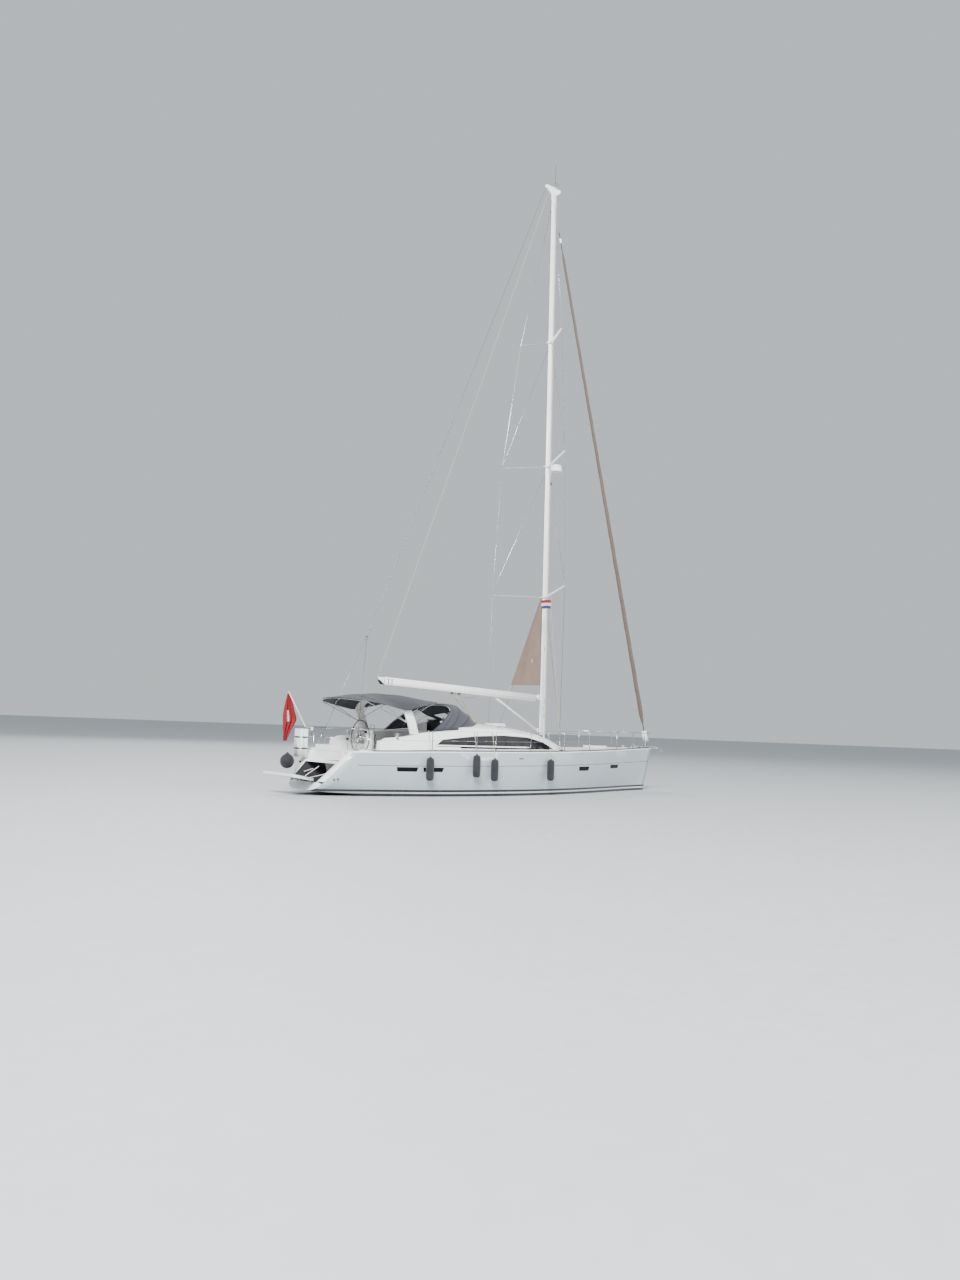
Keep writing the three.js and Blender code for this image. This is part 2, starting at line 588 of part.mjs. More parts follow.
function hatchLid(hatch, baseZ) {
  const half = hatch.size / 2;
  const bottom = baseZ + hatch.rise + HATCH_CLEARANCE;
  const { x, z, halfLength } = hatchHinge(hatch, baseZ);
  const plate = block(hatch.x - half, -half, bottom, hatch.x + half, half, bottom + HATCH_LID_THICKNESS);
  const parts = hinge(x, z, halfLength, HATCH_PIN, bottom);
  const tongue = block(hatch.x + half - 2, -halfLength, z - 8, x, halfLength, z + 8);
  return cut(join(plate, parts.barrel, tongue), parts.bore);
}

// Cockpit

/** The port coaming, leaning inwards in line with the deckhouse side. */
function coamingWall() {
  const { outerHalf, innerHalf, foreX, top, lean } = COAMING;
  const profile = [[top[0][0], 1100], ...top, [foreX, 1100]];
  const leaning = new THREE.Matrix4().makeShear(0, 0, 0, 0, 0, 0);
  leaning.elements[9] = -lean;
  leaning.elements[13] = lean * ROOF_FOOT_Z;
  return toSolid(sidePlate(profile, innerHalf, outerHalf).applyMatrix4(leaning));
}

function makeCockpit(bed) {
  const { innerHalf, foreX } = COAMING;
  const wall = coamingWall();
  const bench = block(BENCH.aftX, BENCH.innerHalf, SOLE_Z, foreX, innerHalf + 20, BENCH.topZ);
  const bridge = block(BRIDGE_AFT_X, -BENCH.innerHalf - 10, SOLE_Z, foreX, BENCH.innerHalf + 10, BENCH.topZ);
  const port = join(wall, bench);
  return cut(join(port, mirrored(port), bridge), bed);
}

function makePedestal() {
  const { x, length, width, topZ } = PEDESTAL;
  const foot = SOLE_Z + SEAT_GAP;
  const column = loft([[foot, 1], [1500, 0.8], [topZ, 0.9]].map(([z, share]) => {
    const [hx, hy] = [(length / 2) * share, (width / 2) * share];
    return [vec(x - hx, -hy, z), vec(x + hx, -hy, z), vec(x + hx, hy, z), vec(x - hx, hy, z)];
  }));
  const { shaftRadius } = WHEEL;
  const shaft = bar(vec(x, 0, WHEEL.z), vec(WHEEL.x - 60, 0, WHEEL.z), shaftRadius, shaftRadius, 16);
  const collar = bar(vec(x, 0, WHEEL.z), vec(WHEEL.x + 62, 0, WHEEL.z), 40, 40, 16);
  const guard = railing([
    vec(x + 80, -122, foot), vec(x + 80, -122, 2080), vec(x + 80, 122, 2080), vec(x + 80, 122, foot)], 14);
  return join(column, shaft, collar, guard);
}

function makeWheel() {
  const { radius, rim, hubRadius, shaftRadius, spokes } = WHEEL;
  const ring = new THREE.TorusGeometry(radius, rim, 6, 32).rotateY(Math.PI / 2);
  const hub = bar(vec(-56, 0, 0), vec(56, 0, 0), hubRadius, hubRadius, 20);
  const rods = Array.from({ length: spokes }, (_, i) => {
    const a = (2 * Math.PI * i) / spokes + Math.PI / 2;
    return bar(vec(0, 0, 0), vec(0, radius * Math.cos(a), radius * Math.sin(a)), 11, 9, 8);
  });
  const bore = bar(vec(-80, 0, 0), vec(80, 0, 0), shaftRadius + PIN_PLAY, shaftRadius + PIN_PLAY, 24);
  const wheel = piece("steering_wheel", "charcoal", cut(join(hub, ring, ...rods), bore));
  wheel.position.set(WHEEL.x, 0, WHEEL.z);
  return wheel;
}

function makeTable() {
  const foot = SOLE_Z + SEAT_GAP;
  const top = block(-6450, -130, 1640, -5450, 130, 1690);
  const leaves = [-1, 1].map((side) => block(-6430, side * 100, 1260, -5470, side * 125, 1660));
  const legs = [-6250, -5650].map((x) => block(x - 40, -60, foot, x + 40, 60, 1660));
  const shelf = block(-6300, -105, 1300, -5600, 105, 1330);
  return join(top, ...leaves, ...legs, shelf);
}

function makeHelmSeat() {
  const { aftX, foreX, innerY, outerY, boxTopZ, lidTopZ } = HELM_SEAT;
  const box = block(aftX, innerY, SOLE_Z + SEAT_GAP, foreX, outerY, boxTopZ);
  const middle = (innerY + outerY) / 2;
  const hingeX = foreX + 22;
  const hingeZ = boxTopZ + 22;
  const parts = hinge(hingeX, hingeZ, 160, 8, boxTopZ - 60);
  const fixed = shifted(parts.fixed, 0, middle, 0);
  const bracket = block(foreX - 4, middle - 178, boxTopZ - 60, hingeX + 14, middle + 178, boxTopZ - 20);
  const lid = block(aftX + 5, innerY + 5, boxTopZ + 5, foreX, outerY - 5, lidTopZ);
  const tongue = block(foreX - 2, middle - 160, hingeZ - 8, hingeX, middle + 160, hingeZ + 8);
  const lidSolid = cut(
    join(lid, shifted(parts.barrel, 0, middle, 0), tongue), shifted(parts.bore, 0, middle, 0));
  return { box: join(box, bracket, fixed), lid: lidSolid };
}

function makePlatform() {
  const { hingeX, hingeZ, tilt } = PLATFORM;
  const plate = toSolid(platformPlate(0));
  const knuckle = join(bar(vec(0, -300, 0), vec(0, 300, 0), 34, 34, 20), block(0, -300, -20, 80, 300, 20));
  const bore = bar(vec(0, -340, 0), vec(0, 340, 0), 16 + PIN_PLAY, 16 + PIN_PLAY, 24);
  const platform = piece("transom_platform", "teak", cut(join(plate, knuckle), bore));
  platform.position.set(hingeX, 0, hingeZ);
  platform.rotation.y = Math.PI + tilt;
  return platform;
}

/** Pins on the sill that carry the platform. */
function platformPins() {
  const { hingeX, hingeZ } = PLATFORM;
  const pin = bar(vec(hingeX, -350, hingeZ), vec(hingeX, 350, hingeZ), 16, 16, 16);
  const lugs = [-1, 1].map((side) => block(
    hingeX - 24, side * 304, LOCKER.bottomZ - 20, hingeX + 140, side * 350, hingeZ + 12));
  return join(pin, ...lugs);
}

// Underwater gear

function makeKeel(hullBed) {
  const { rootX, rootChord, rootZ, shoulderZ, tipX, tipChord, tipZ, rootThickness } = KEEL;
  const { bulbRadius, bulbLength, bulbX, soleZ } = KEEL;
  const fin = loft([
    foilRing(rootX, rootChord, rootThickness, rootZ),
    foilRing(rootX - 60, rootChord * 0.96, rootThickness, shoulderZ),
    foilRing(tipX, tipChord, rootThickness, tipZ),
  ]);
  const profile = Array.from({ length: 13 }, (_, i) => {
    const s = i / 12;
    return new THREE.Vector2(bulbRadius * Math.sqrt(Math.sin(Math.PI * s ** 1.25)), bulbLength * (s - 0.5));
  });
  profile[0].x = 0;
  profile[12].x = 0;
  const bulb = toSolid(new THREE.LatheGeometry(profile, 16).rotateZ(Math.PI / 2)
    .translate(bulbX, 0, tipZ));
  const belowSole = block(bulbX - 3000, -500, soleZ - 500, bulbX + 3000, 500, soleZ);
  return cut(join(fin, bulb), belowSole, shifted(hullBed, 0, 0, -SEAT_GAP));
}

function makeSaildrive(hullBed) {
  const { x, chord, width, topZ, bottomZ, podRadius, podLength } = SAILDRIVE;
  const leg = loft([topZ, bottomZ].map((z) => foilRing(x + chord / 2, chord, width / chord, z)));
  const nose = vec(x + podLength / 2, 0, PROPELLER.z);
  const pod = bar(nose, vec(x - podLength / 2 + 20, 0, PROPELLER.z), podRadius, 50, 16);
  const cap = new THREE.SphereGeometry(podRadius, 16, 10).translate(nose.x, 0, nose.z);
  const shaft = bar(vec(x, 0, PROPELLER.z), vec(PROPELLER.x - 90, 0, PROPELLER.z), PROPELLER.shaftRadius,
    PROPELLER.shaftRadius, 16);
  return cut(join(leg, pod, cap, shaft), shifted(hullBed, 0, 0, -SEAT_GAP));
}

function makePropeller() {
  const { radius, hubRadius, hubLength, shaftRadius, blades } = PROPELLER;
  const hub = bar(vec(hubLength / 2, 0, 0), vec(-hubLength / 2, 0, 0), hubRadius, hubRadius * 0.8, 18);
  const outline = new THREE.Shape();
  outline.moveTo(-22, 30);
  outline.bezierCurveTo(-120, 90, -95, radius - 20, 0, radius);
  outline.bezierCurveTo(95, radius - 20, 120, 90, 22, 30);
  const flat = new THREE.ExtrudeGeometry(outline, { depth: 10, bevelEnabled: false, curveSegments: 8 });
  const blade = flat.translate(0, 0, -5).rotateX(Math.PI / 2).rotateZ(THREE.MathUtils.degToRad(62));
  const fan = Array.from({ length: blades }, (_, i) => (
    toSolid(blade.clone().rotateX((2 * Math.PI * i) / blades))));
  const bore = bar(vec(100, 0, 0), vec(-100, 0, 0), shaftRadius + PIN_PLAY, shaftRadius + PIN_PLAY, 24);
  const propeller = piece("propeller", "bronze", cut(join(hub, ...fan), bore));
  propeller.position.set(PROPELLER.x, 0, PROPELLER.z);
  return propeller;
}

function makeRudder() {
  const { x, topZ, bottomZ, stockRadius, stockTopZ, topChord, bottomChord, balance, thickness } = RUDDER;
  const rings = [
    [topZ, topChord], [(topZ + bottomZ) / 2, (topChord * 1.05 + bottomChord) / 2], [bottomZ, bottomChord],
  ].map(([z, chord]) => foilRing(chord * balance, chord, thickness, z));
  const stock = bar(vec(0, 0, topZ - 300), vec(0, 0, stockTopZ), stockRadius - 12, stockRadius, 20);
  const rudder = piece("rudder", "antifouling", join(loft(rings), stock));
  rudder.position.set(x, 0, 0);
  return rudder;
}

// Mast, boom and standing rigging

function ovalShape(length, width) {
  const shape = new THREE.Shape();
  shape.absellipse(0, 0, length / 2, width / 2, 0, 2 * Math.PI, false, 0);
  return shape;
}

function makeMast(bed) {
  const height = MAST.topZ - MAST.footZ;
  const tube = new THREE.ExtrudeGeometry(ovalShape(MAST.length, MAST.width), {
    depth: height, bevelEnabled: false, curveSegments: 10, steps: 1 });
  const standing = tube.translate(0, 0, MAST.footZ - MAST.rakeZ).rotateY(-MAST.rake)
    .translate(0, 0, MAST.rakeZ);
  const lugs = [-1, 1].map((side) => join(
    raked(block(-BOOM.depth / 2 - 140, -30, 0, -90, 30, 16), BOOM.goosenecks + side * 70 - 8)));
  const [pin, vangPin] = [[84, BOOM.goosenecks], [60, VANG.footZ]].map(([half, z]) => {
    const [low, high] = [vec(BOOM.hingeX, 0, -half), vec(BOOM.hingeX, 0, half)];
    return raked(bar(low, high, GOOSENECK_PIN, GOOSENECK_PIN, 16), z);
  });
  const vangLugs = [-1, 1].map((side) => raked(
    block(BOOM.hingeX - 22, -26, 0, -90, 26, 14), VANG.footZ + side * 52 - 7));
  return cut(join(standing, ...lugs, pin, vangPin, ...vangLugs), bed);
}

/** Places a piece made round the mast's axis at a height of the raked mast. */
function raked(shape, z) {
  const centre = mastPoint(z);
  return shape.rotateY(-MAST.rake).translate(centre.x, 0, centre.z);
}

function makeMasthead() {
  const { aft, fore, height, tipHeight, halfWidth } = CRANE;
  const underside = height - tipHeight;
  const outline = [
    [-aft, underside], [-110, 0], [120, 0], [fore, underside], [fore, height], [-aft, height]];
  const crane = sidePlate(outline, -halfWidth, halfWidth);
  const plate = block(-90, -70, height - 20, 150, 70, height);
  const aerial = bar(vec(20, -55, height - 10), vec(20, -55, height + 900), 6, 5, 6);
  const vaneTop = height + 260;
  const vane = railing([vec(240, 50, height - 8), vec(240, 50, vaneTop), vec(60, 50, vaneTop)], 6, 6);
  const wing = block(230, 30, height - 20, 280, 60, height);
  const head = toGeometry(join(crane, plate, aerial, vane, wing));
  return toSolid(raked(head, MAST.topZ + SEAT_GAP));
}

/** Points of one side's shrouds, from the mast and the spreader tips. */
function spreaderTip({ z, length }, side, extra = 0) {
  const reach = length + extra;
  const level = Math.cos(SPREADER_RISE);
  return mastPoint(z).add(vec(
    -reach * Math.sin(SPREADER_SWEEP) * level, side * reach * Math.cos(SPREADER_SWEEP) * level,
    reach * Math.sin(SPREADER_RISE)));
}

function makeSpreaders(spreader) {
  const arms = [-1, 1].map((side) => {
    const root = spreaderTip({ z: spreader.z, length: 40 }, side);
    const tip = spreaderTip(spreader, side);
    const flat = toSolid(bar(vec(0, 0, 0), vec(root.distanceTo(tip), 0, 0), 60, 34, 12)).scale([1, 1, 0.34]);
    const toTip = tip.clone().sub(root).normalize();
    const across = vec(0, 0, 1).cross(toTip).normalize();
    const turn = new THREE.Matrix4().makeBasis(toTip, across, toTip.clone().cross(across));
    turn.setPosition(root);
    return flat.transform(turn.elements);
  });
  const band = raked(block(-MAST.length / 2 - 16, -MAST.width / 2 - 14, -30, MAST.length / 2 - 60,
    MAST.width / 2 + 14, 30), spreader.z);
  const room = raked(new THREE.ExtrudeGeometry(ovalShape(MAST.length + 2, MAST.width + 2), {
    depth: 400, bevelEnabled: false, curveSegments: 10 }).translate(0, 0, -200), spreader.z);
  return cut(join(...arms, band), room);
}

function makeShrouds(side, bed) {
  const outside = SHROUD_RADIUS + 3;
  const foot = vec(CHAINPLATE.x, side * CHAINPLATE.y, deckTop(CHAINPLATE.x, CHAINPLATE.y));
  const lowerFoot = vec(LOWER_CHAINPLATE_X, foot.y, foot.z);
  const tips = SPREADERS.map((spreader) => spreaderTip(spreader, side, outside));
  const mastSide = (z) => mastPoint(z).add(vec(-10, side * (MAST.width / 2 + SHROUD_RADIUS + 3), 0));
  const cap = wire([foot, ...tips, mastSide(CAP_SHROUD_TOP_Z)], SHROUD_RADIUS, 8);
  const raise = vec(0, 0, 60); // of a diagonal's foot above the spreader tip
  const diagonals = [
    [lowerFoot, mastSide(SPREADERS[0].z - 150)],
    [tips[0].clone().add(raise), mastSide(SPREADERS[1].z - 150)],
    [tips[1].clone().add(raise), mastSide(SPREADERS[2].z - 150)],
  ].map(([from, to]) => toSolid(bar(from, to, SHROUD_RADIUS, SHROUD_RADIUS, 8)));
  const plate = block(
    CHAINPLATE.x - 40, foot.y - 9, foot.z - 15, LOWER_CHAINPLATE_X + 40, foot.y + 9, foot.z + 70);
  const screws = [[foot, tips[0]], [lowerFoot, mastSide(SPREADERS[0].z)]].map(([from, to]) => {
    const along = to.clone().sub(from).normalize();
    const [low, high] = [60, 420].map((reach) => from.clone().addScaledVector(along, reach));
    return toSolid(bar(low, high, SCREW_RADIUS, SCREW_RADIUS, 8));
  });
  return cut(join(plate, cap, ...diagonals, ...screws), bed);
}

/** One leg of the split backstay, from the split to a quarter. */
function backstayLeg(side, radius) {
  const { split, foot } = BACKSTAY;
  const from = vec(split[0], 0, split[1]);
  const to = vec(foot[0], side * foot[1], deckTop(foot[0], foot[1]));
  return bar(from, to, radius, radius, 8);
}

function makeBackstay(bed, crane) {
  const { radius, top, split, foot } = BACKSTAY;
  const head = vec(top[0], 0, top[1]);
  const fork = vec(split[0], 0, split[1]);
  const fittings = [-1, 1].map((side) => {
    const base = vec(foot[0], side * foot[1], deckTop(foot[0], foot[1]));
    const along = fork.clone().sub(base).normalize();
    const [low, high] = [80, 520].map((reach) => base.clone().addScaledVector(along, reach));
    const screw = bar(low, high, SCREW_RADIUS, SCREW_RADIUS, 8);
    return join(backstayLeg(side, radius), screw,
      block(base.x - 40, base.y - 20, base.z - 15, base.x + 40, base.y + 20, base.z + 60));
  });
  const plate = block(fork.x - 30, -34, fork.z - 70, fork.x + 30, 34, fork.z + 30);
  const wires = join(bar(fork, head, radius, radius, 8), plate, ...fittings);
  return cut(wires, bed, shifted(crane, 0, 0, -SEAT_GAP));
}

function makeGenoa(mast) {
  const at = ([x, z]) => vec(x, 0, z);
  const sail = bar(at(GENOA.foot), at(GENOA.top), GENOA.footRadius, GENOA.topRadius, 14);
  const { foilRadius, wireRadius } = FORESTAY;
  const foilFoot = at(FURLER.top).lerp(at(FORESTAY.top), 0.00003); // a hair above the drum
  const foil = bar(foilFoot, at(FORESTAY.top), foilRadius, foilRadius, 10);
  const stay = bar(at(FORESTAY.top), at(FORESTAY.tang), wireRadius, wireRadius, 8);
  return cut(join(sail, foil, stay), shifted(mast, SEAT_GAP, 0, 0));
}

function makeFurler() {
  const at = ([x, z]) => vec(x, 0, z);
  return join(
    bar(at(FURLER.foot), at(FURLER.top), FURLER.radius, FURLER.radius * 0.9, 18),
    bar(at(FORESTAY.foot), at(FURLER.foot), 14, 14, 8));
}

function makeBoomGroup() {
  const group = new THREE.Group();
  const hingeAt = mastPoint(BOOM.goosenecks, BOOM.hingeX);
  group.position.copy(hingeAt);
  group.rotation.y = -MAST.rake;
  const { length, depth, width, noseLength, riseAngle } = BOOM;
  const section = new THREE.Shape();
  section.moveTo(-depth / 2, -width * 0.3);
  section.bezierCurveTo(-depth / 2, -width / 2, depth * 0.2, -width * 0.62, depth / 2, -width * 0.3);
  section.lineTo(depth / 2, width * 0.3);
  section.bezierCurveTo(depth * 0.2, width * 0.62, -depth / 2, width / 2, -depth / 2, width * 0.3);
  const body = new THREE.ExtrudeGeometry(section, {
    depth: length - noseLength, bevelEnabled: false, curveSegments: 5,
  }).rotateY(-Math.PI / 2).translate(-noseLength, 0, -BOOM.drop).rotateY(riseAngle);
  const tongue = block(-noseLength - 40, -34, -50, 0, 34, 50);
  const barrel = bar(vec(0, 0, -50), vec(0, 0, 50), 36, 36, 16);
  const bore = bar(vec(0, 0, -90), vec(0, 0, 90), GOOSENECK_PIN + PIN_PLAY, GOOSENECK_PIN + PIN_PLAY, 20);
  const boom = cut(join(body, tongue, barrel), bore);
  group.add(piece("boom", "alloy", boom));

  const local = (x, z) => vec(x - hingeAt.x, 0, z - hingeAt.z);
  const footZ = VANG.footZ - BOOM.goosenecks;
  const underBoom = local(VANG.boomX, VANG.boomZ);
  const tube = bar(vec(-48, 0, footZ + 6), underBoom, VANG.radius, VANG.radius * 0.8, 12);
  const neck = block(-60, -16, footZ - 24, -10, 16, footZ + 30);
  const eye = bar(vec(0, 0, footZ - 40), vec(0, 0, footZ + 40), 34, 34, 16);
  const eyeBore = bar(vec(0, 0, footZ - 90), vec(0, 0, footZ + 90), GOOSENECK_PIN + PIN_PLAY,
    GOOSENECK_PIN + PIN_PLAY, 20);
  const vang = cut(join(tube, neck, eye), eyeBore, shifted(boom, 0, 0, -SEAT_GAP));
  group.add(piece("boom_vang", "alloy", vang));

  const luff = -MAST.length / 2 - BOOM.hingeX - MAIN_CLEW.luffGap;
  const { aftX, bottomZ, topZ, strapX, strapZ, strapRadius } = MAIN_CLEW;
  const clewShape = new THREE.Shape([
    [luff, bottomZ + 60 - hingeAt.z], [luff, topZ - hingeAt.z], [aftX - hingeAt.x, bottomZ - hingeAt.z],
  ].map(([x, z]) => new THREE.Vector2(x, z)));
  const cloth = new THREE.ExtrudeGeometry(clewShape, { depth: MAIN_CLEW.thickness, bevelEnabled: false })
    .rotateX(Math.PI / 2).translate(0, MAIN_CLEW.thickness / 2, 0);
  const corner = local(aftX + 60, bottomZ + 5);
  const strap = bar(corner, local(strapX, strapZ), strapRadius, strapRadius, 8);
  const clew = cut(join(cloth, strap), shifted(boom, 0, 0, SEAT_GAP));
  group.add(piece("mainsail_clew", "sailcloth", clew));
  return group;
}

function makeRadar() {
  const { radius, height } = RADAR;
  const centre = mastPoint(RADAR.z, RADAR.x + 104);
  const dome = bar(centre, centre.clone().add(vec(0, 0, height)), radius, radius * 0.82, 24);
  const mastFront = mastPoint(RADAR.z, MAST.length / 2 + 2).x;
  const bracket = block(mastFront, -60, RADAR.z - 60, centre.x + 60, 60, RADAR.z + 1);
  const back = block(mastFront, -50, RADAR.z - 160, mastFront + 20, 50, RADAR.z + 1);
  return join(dome, bracket, back);
}

// Deck gear

function makeStanchions(side, bed) {
  const { height, radius, inset, wireRadius, midHeight } = STANCHION;
  const posts = STANCHION_XS.map((x) => {
    const y = side * (deckHalfAt(x) - inset);
    return vec(x, y, deckTop(x, y) - 10);
  });
  const aft = vec(PUSHPIT.foreX + PUSHPIT.radius + 4, side * 1400, 0);
  const fore = vec(PULPIT.aftX - PULPIT.radius - 4, side * PULPIT.aftY, 0);
  const wires = [height - 12, midHeight].map((rise) => {
    const ends = [aft, fore].map((end) => vec(end.x, end.y, deckTop(end.x, end.y) + rise));
    const row = posts.map((post) => vec(post.x, post.y, post.z + rise));
    return wire([ends[0], ...row, ends[1]], wireRadius);
  });
  const rods = posts.map((post) => join(
    bar(post, post.clone().add(vec(0, 0, height)), radius, radius * 0.8, 8),
    bar(post, post.clone().add(vec(0, 0, 60)), 26, 18, 10)));
  return cut(join(...rods, ...wires), bed);
}

function makePushpit(side, bed) {
  const { radius, foreX, topZ } = PUSHPIT;
  const foot = (x, y) => vec(x, side * y, deckTop(x, y) - 10);
  const rail = (z) => [
    vec(foreX, side * 1400, z), vec(-8420, side * 1300, z),
    vec(-8500, side * 1180, z), vec(-8500, side * 1010, z)];
  const legs = [[foreX, 1400], [-8420, 1300], [-8500, 1010]].map(([x, y]) => (
    bar(foot(x, y), vec(x, side * y, topZ), radius, radius, 8)));
  return cut(join(railing(rail(topZ), radius), railing(rail(topZ - 290), radius * 0.8), ...legs), bed);
}

function makePulpit(bed) {
  const { radius, aftX, aftY, topZ } = PULPIT;
  const foot = (x, y) => vec(x, y, deckTop(x, y) - 10);
  const top = [[aftX, aftY], [4100, 560], [5000, 330], [5350, 250]];
  const rails = [-1, 1].map((side) => railing(top.map(([x, y]) => vec(x, side * y, topZ)), radius));
  const bow = railing([vec(5350, -250, topZ), vec(5480, 0, topZ), vec(5350, 250, topZ)], radius);
  const legs = [-1, 1].flatMap((side) => [[aftX, aftY], [4100, 560], [5000, 260]].map(([x, y]) => (
    bar(foot(x, side * y), vec(x, side * (x === 5000 ? 330 : y), topZ), radius, radius, 8))));
  return cut(join(...rails, bow, ...legs), bed);
}

function makeBowRoller(bed) {
  const outline = [
    [5150, 1585], [5150, 1640], [5500, 1664], [5930, 1640], [5930, 1566], [5700, 1566], [5684, 1585]];
  const plate = sidePlate(outline, -55, 55);
  const groove = block(5480, -35, 1632, 6000, 35, 1800);
  const tang = block(5405, -12, 1620, 5455, 12, 1795.8);
  return cut(join(cut(plate, groove), tang), bed, shifted(bed, SEAT_GAP, 0, 0));
}

function makeAnchor() {
  const shank = sidePlate([
    [5500, 1632.3], [5500, 1680], [5960, 1680], [6350, 1565], [6330, 1510], [5940, 1632.3]], -12, 12);
  const rows = [[6050, 1500, 30, 6], [6200, 1560, 120, 20], [6490, 1480, 12, 8]];
  const fluke = loft(rows.map(([x, z, half, thick]) => (
    [vec(x, -half, z - thick), vec(x, 0, z - thick * 3), vec(x, half, z - thick), vec(x, 0, z + thick)])));
  return join(shank, fluke);
}

function makeRaft() {
  const { x, y, length, width, bottomZ, topZ } = RAFT;
  const shape = new THREE.Shape();
  const [hx, hy] = [length / 2, width / 2];
  shape.moveTo(-hx * 0.5, -hy);
  shape.lineTo(hx * 0.5, -hy);
  shape.quadraticCurveTo(hx, -hy, hx, -hy * 0.6);
  shape.lineTo(hx, hy * 0.6);
  shape.quadraticCurveTo(hx, hy, hx * 0.5, hy);
  shape.lineTo(-hx * 0.5, hy);
  shape.quadraticCurveTo(-hx, hy, -hx, hy * 0.6);
  shape.lineTo(-hx, -hy * 0.6);
  shape.quadraticCurveTo(-hx, -hy, -hx * 0.5, -hy);
  const canister = new THREE.ExtrudeGeometry(shape, {
    depth: topZ - bottomZ, bevelEnabled: false, curveSegments: 4,
  }).translate(x, y, bottomZ);
  const railX = -8500 - PUSHPIT.radius - 2 * SEAT_GAP;
  const arms = [topZ - 60, topZ - 250].map((z) => block(x, 1040, z, railX, 1140, z + 30));
  const hook = block(railX - 30, 1040, topZ - 60, railX, 1140, PUSHPIT.topZ);
  return join(canister, ...arms, hook);
}

function makeEnsignStaff() {
  const foot = vec(-8700, 1200, 1955);
  const head = vec(-9320, 1222, 3000);
  const arm = bar(vec(-8500 - PUSHPIT.radius - 2.5, 1150, 1955), foot, 9, 9, 8);
  return join(bar(foot, head, 14, 11, 10), arm);
}

function makeEnsign(staff) {
  const outline = [
    [-9330, 2980], [-9275, 2975], [-9060, 2400], [-9040, 1860], [-9090, 1540], [-9220, 1620], [-9330, 2100]];
  const hoistY = 1229;
  return cut(sidePlate(outline, hoistY, hoistY + 24), shifted(staff, 0, SEAT_GAP, 0));
}

// Canvas covers

/** A bowed sheet of cloth: one row of upper points for each bow, and the same row lower down. */
function clothShell(rows, thickness, lift = 0) {
  const rings = rows.map((top) => {
    const under = top.map((p, i) => {
      const before = top[Math.max(i - 1, 0)];
      const after = top[Math.min(i + 1, top.length - 1)];
      const across = new THREE.Vector2(after.y - before.y, after.z - before.z).normalize();
      return vec(p.x, p.y - across.y * thickness, p.z + across.x * thickness);
    });
    const over = top.map((p) => vec(p.x, p.y, p.z + lift));
    return [...over, ...under.reverse()];
  });
  return clothLoft(rings);
}

/** Upper points of a bow from port to starboard, by a profile of breadth and rise. */
function bowPoints(bow, profile, steps = 12) {
  return Array.from({ length: steps + 1 }, (_, i) => {
    const { y, rise } = profile(1 - (2 * i) / steps);
    return vec(
      THREE.MathUtils.lerp(bow.edgeX, bow.centreX, rise), y * bow.half,
      THREE.MathUtils.lerp(bow.edgeZ, bow.centreZ, rise));
  });
}

const flatBow = (u) => ({ y: u, rise: 1 - u * u });
const deepBow = (u) => {
  const angle = (Math.PI / 2) * u;
  return { y: Math.sign(u) * Math.abs(Math.sin(angle)) ** 0.8, rise: Math.cos(angle) ** 0.55 };
};
const biminiRows = BIMINI_BOWS.map((bow) => bowPoints(bow, flatBow));

/** Height of the top of a solid above a point and what lies within a reach of it. */
function topAt(solid, x, y, reach = 2) {
  const column = toSolid(block(x - reach, y - reach, 0, x + reach, y + reach, 5000));
  return solid.intersect(column).boundingBox().max[2];
}

/** The sprayhood, its hem just above the roof and the coamings and held down by studs. */
function makeHood(base) {
  const [front, ...bows] = HOOD_BOWS;
  const frontRow = bowPoints({ ...front, edgeZ: 0, centreZ: 0 }, flatBow).map(({ x, y }) => (
    vec(x, y, topAt(base, x, y, CANVAS) + HOOD_LIFT + CANVAS)));
  const rows = bows.map((bow) => (
    bowPoints({ ...bow, edgeZ: topAt(base, bow.edgeX, bow.half, 2 * CANVAS) + HOOD_LIFT }, deepBow)));
  const studs = bows.flatMap(({ edgeX, half }) => [-1, 1].map((side) => {
    const [x, y] = [edgeX + 30, side * (half - CANVAS / 2)];
    const z = topAt(base, x, y);
    return bar(vec(x, y, z - 10), vec(x, y, z + 60), HOOD_STUD, HOOD_STUD, 8);
  }));
  const shell = clothShell([frontRow, ...rows], CANVAS);
  return join(shell, cut(join(...studs), shifted(base, 0, 0, SEAT_GAP)));
}

function makeArch(bed) {
  const { footX, kneeX, topX, width, thickness, half } = ARCH;
  const path = [
    [footX, half, 1850], [(footX + kneeX) / 2, half, 2250], [kneeX, half - 20, 2560],
    [kneeX - 30, half - 170, 2760], [topX, half - 600, 2930], [topX, 0, 3030]].map((p) => vec(...p));
  const points = [...path, ...path.slice(0, -1).reverse().map(({ x, y, z }) => vec(x, -y, z))];
  const rings = points.map((p, i) => {
    const before = points[Math.max(i - 1, 0)];
    const after = points[Math.min(i + 1, points.length - 1)];
    const along = new THREE.Vector2(after.y - before.y, after.z - before.z).normalize();
    const [ny, nz] = [along.y * (thickness / 2), -along.x * (thickness / 2)];
    const w = width / 2;
    return [vec(p.x - w, p.y + ny, p.z + nz), vec(p.x + w, p.y + ny, p.z + nz),
      vec(p.x + w, p.y - ny, p.z - nz), vec(p.x - w, p.y - ny, p.z - nz)];
  });
  const above = clothShell(biminiRows, CANVAS + SEAT_GAP, 400);
  return cut(loft(rings), above, shifted(bed, 0, 0, SEAT_GAP));
}

// Fenders

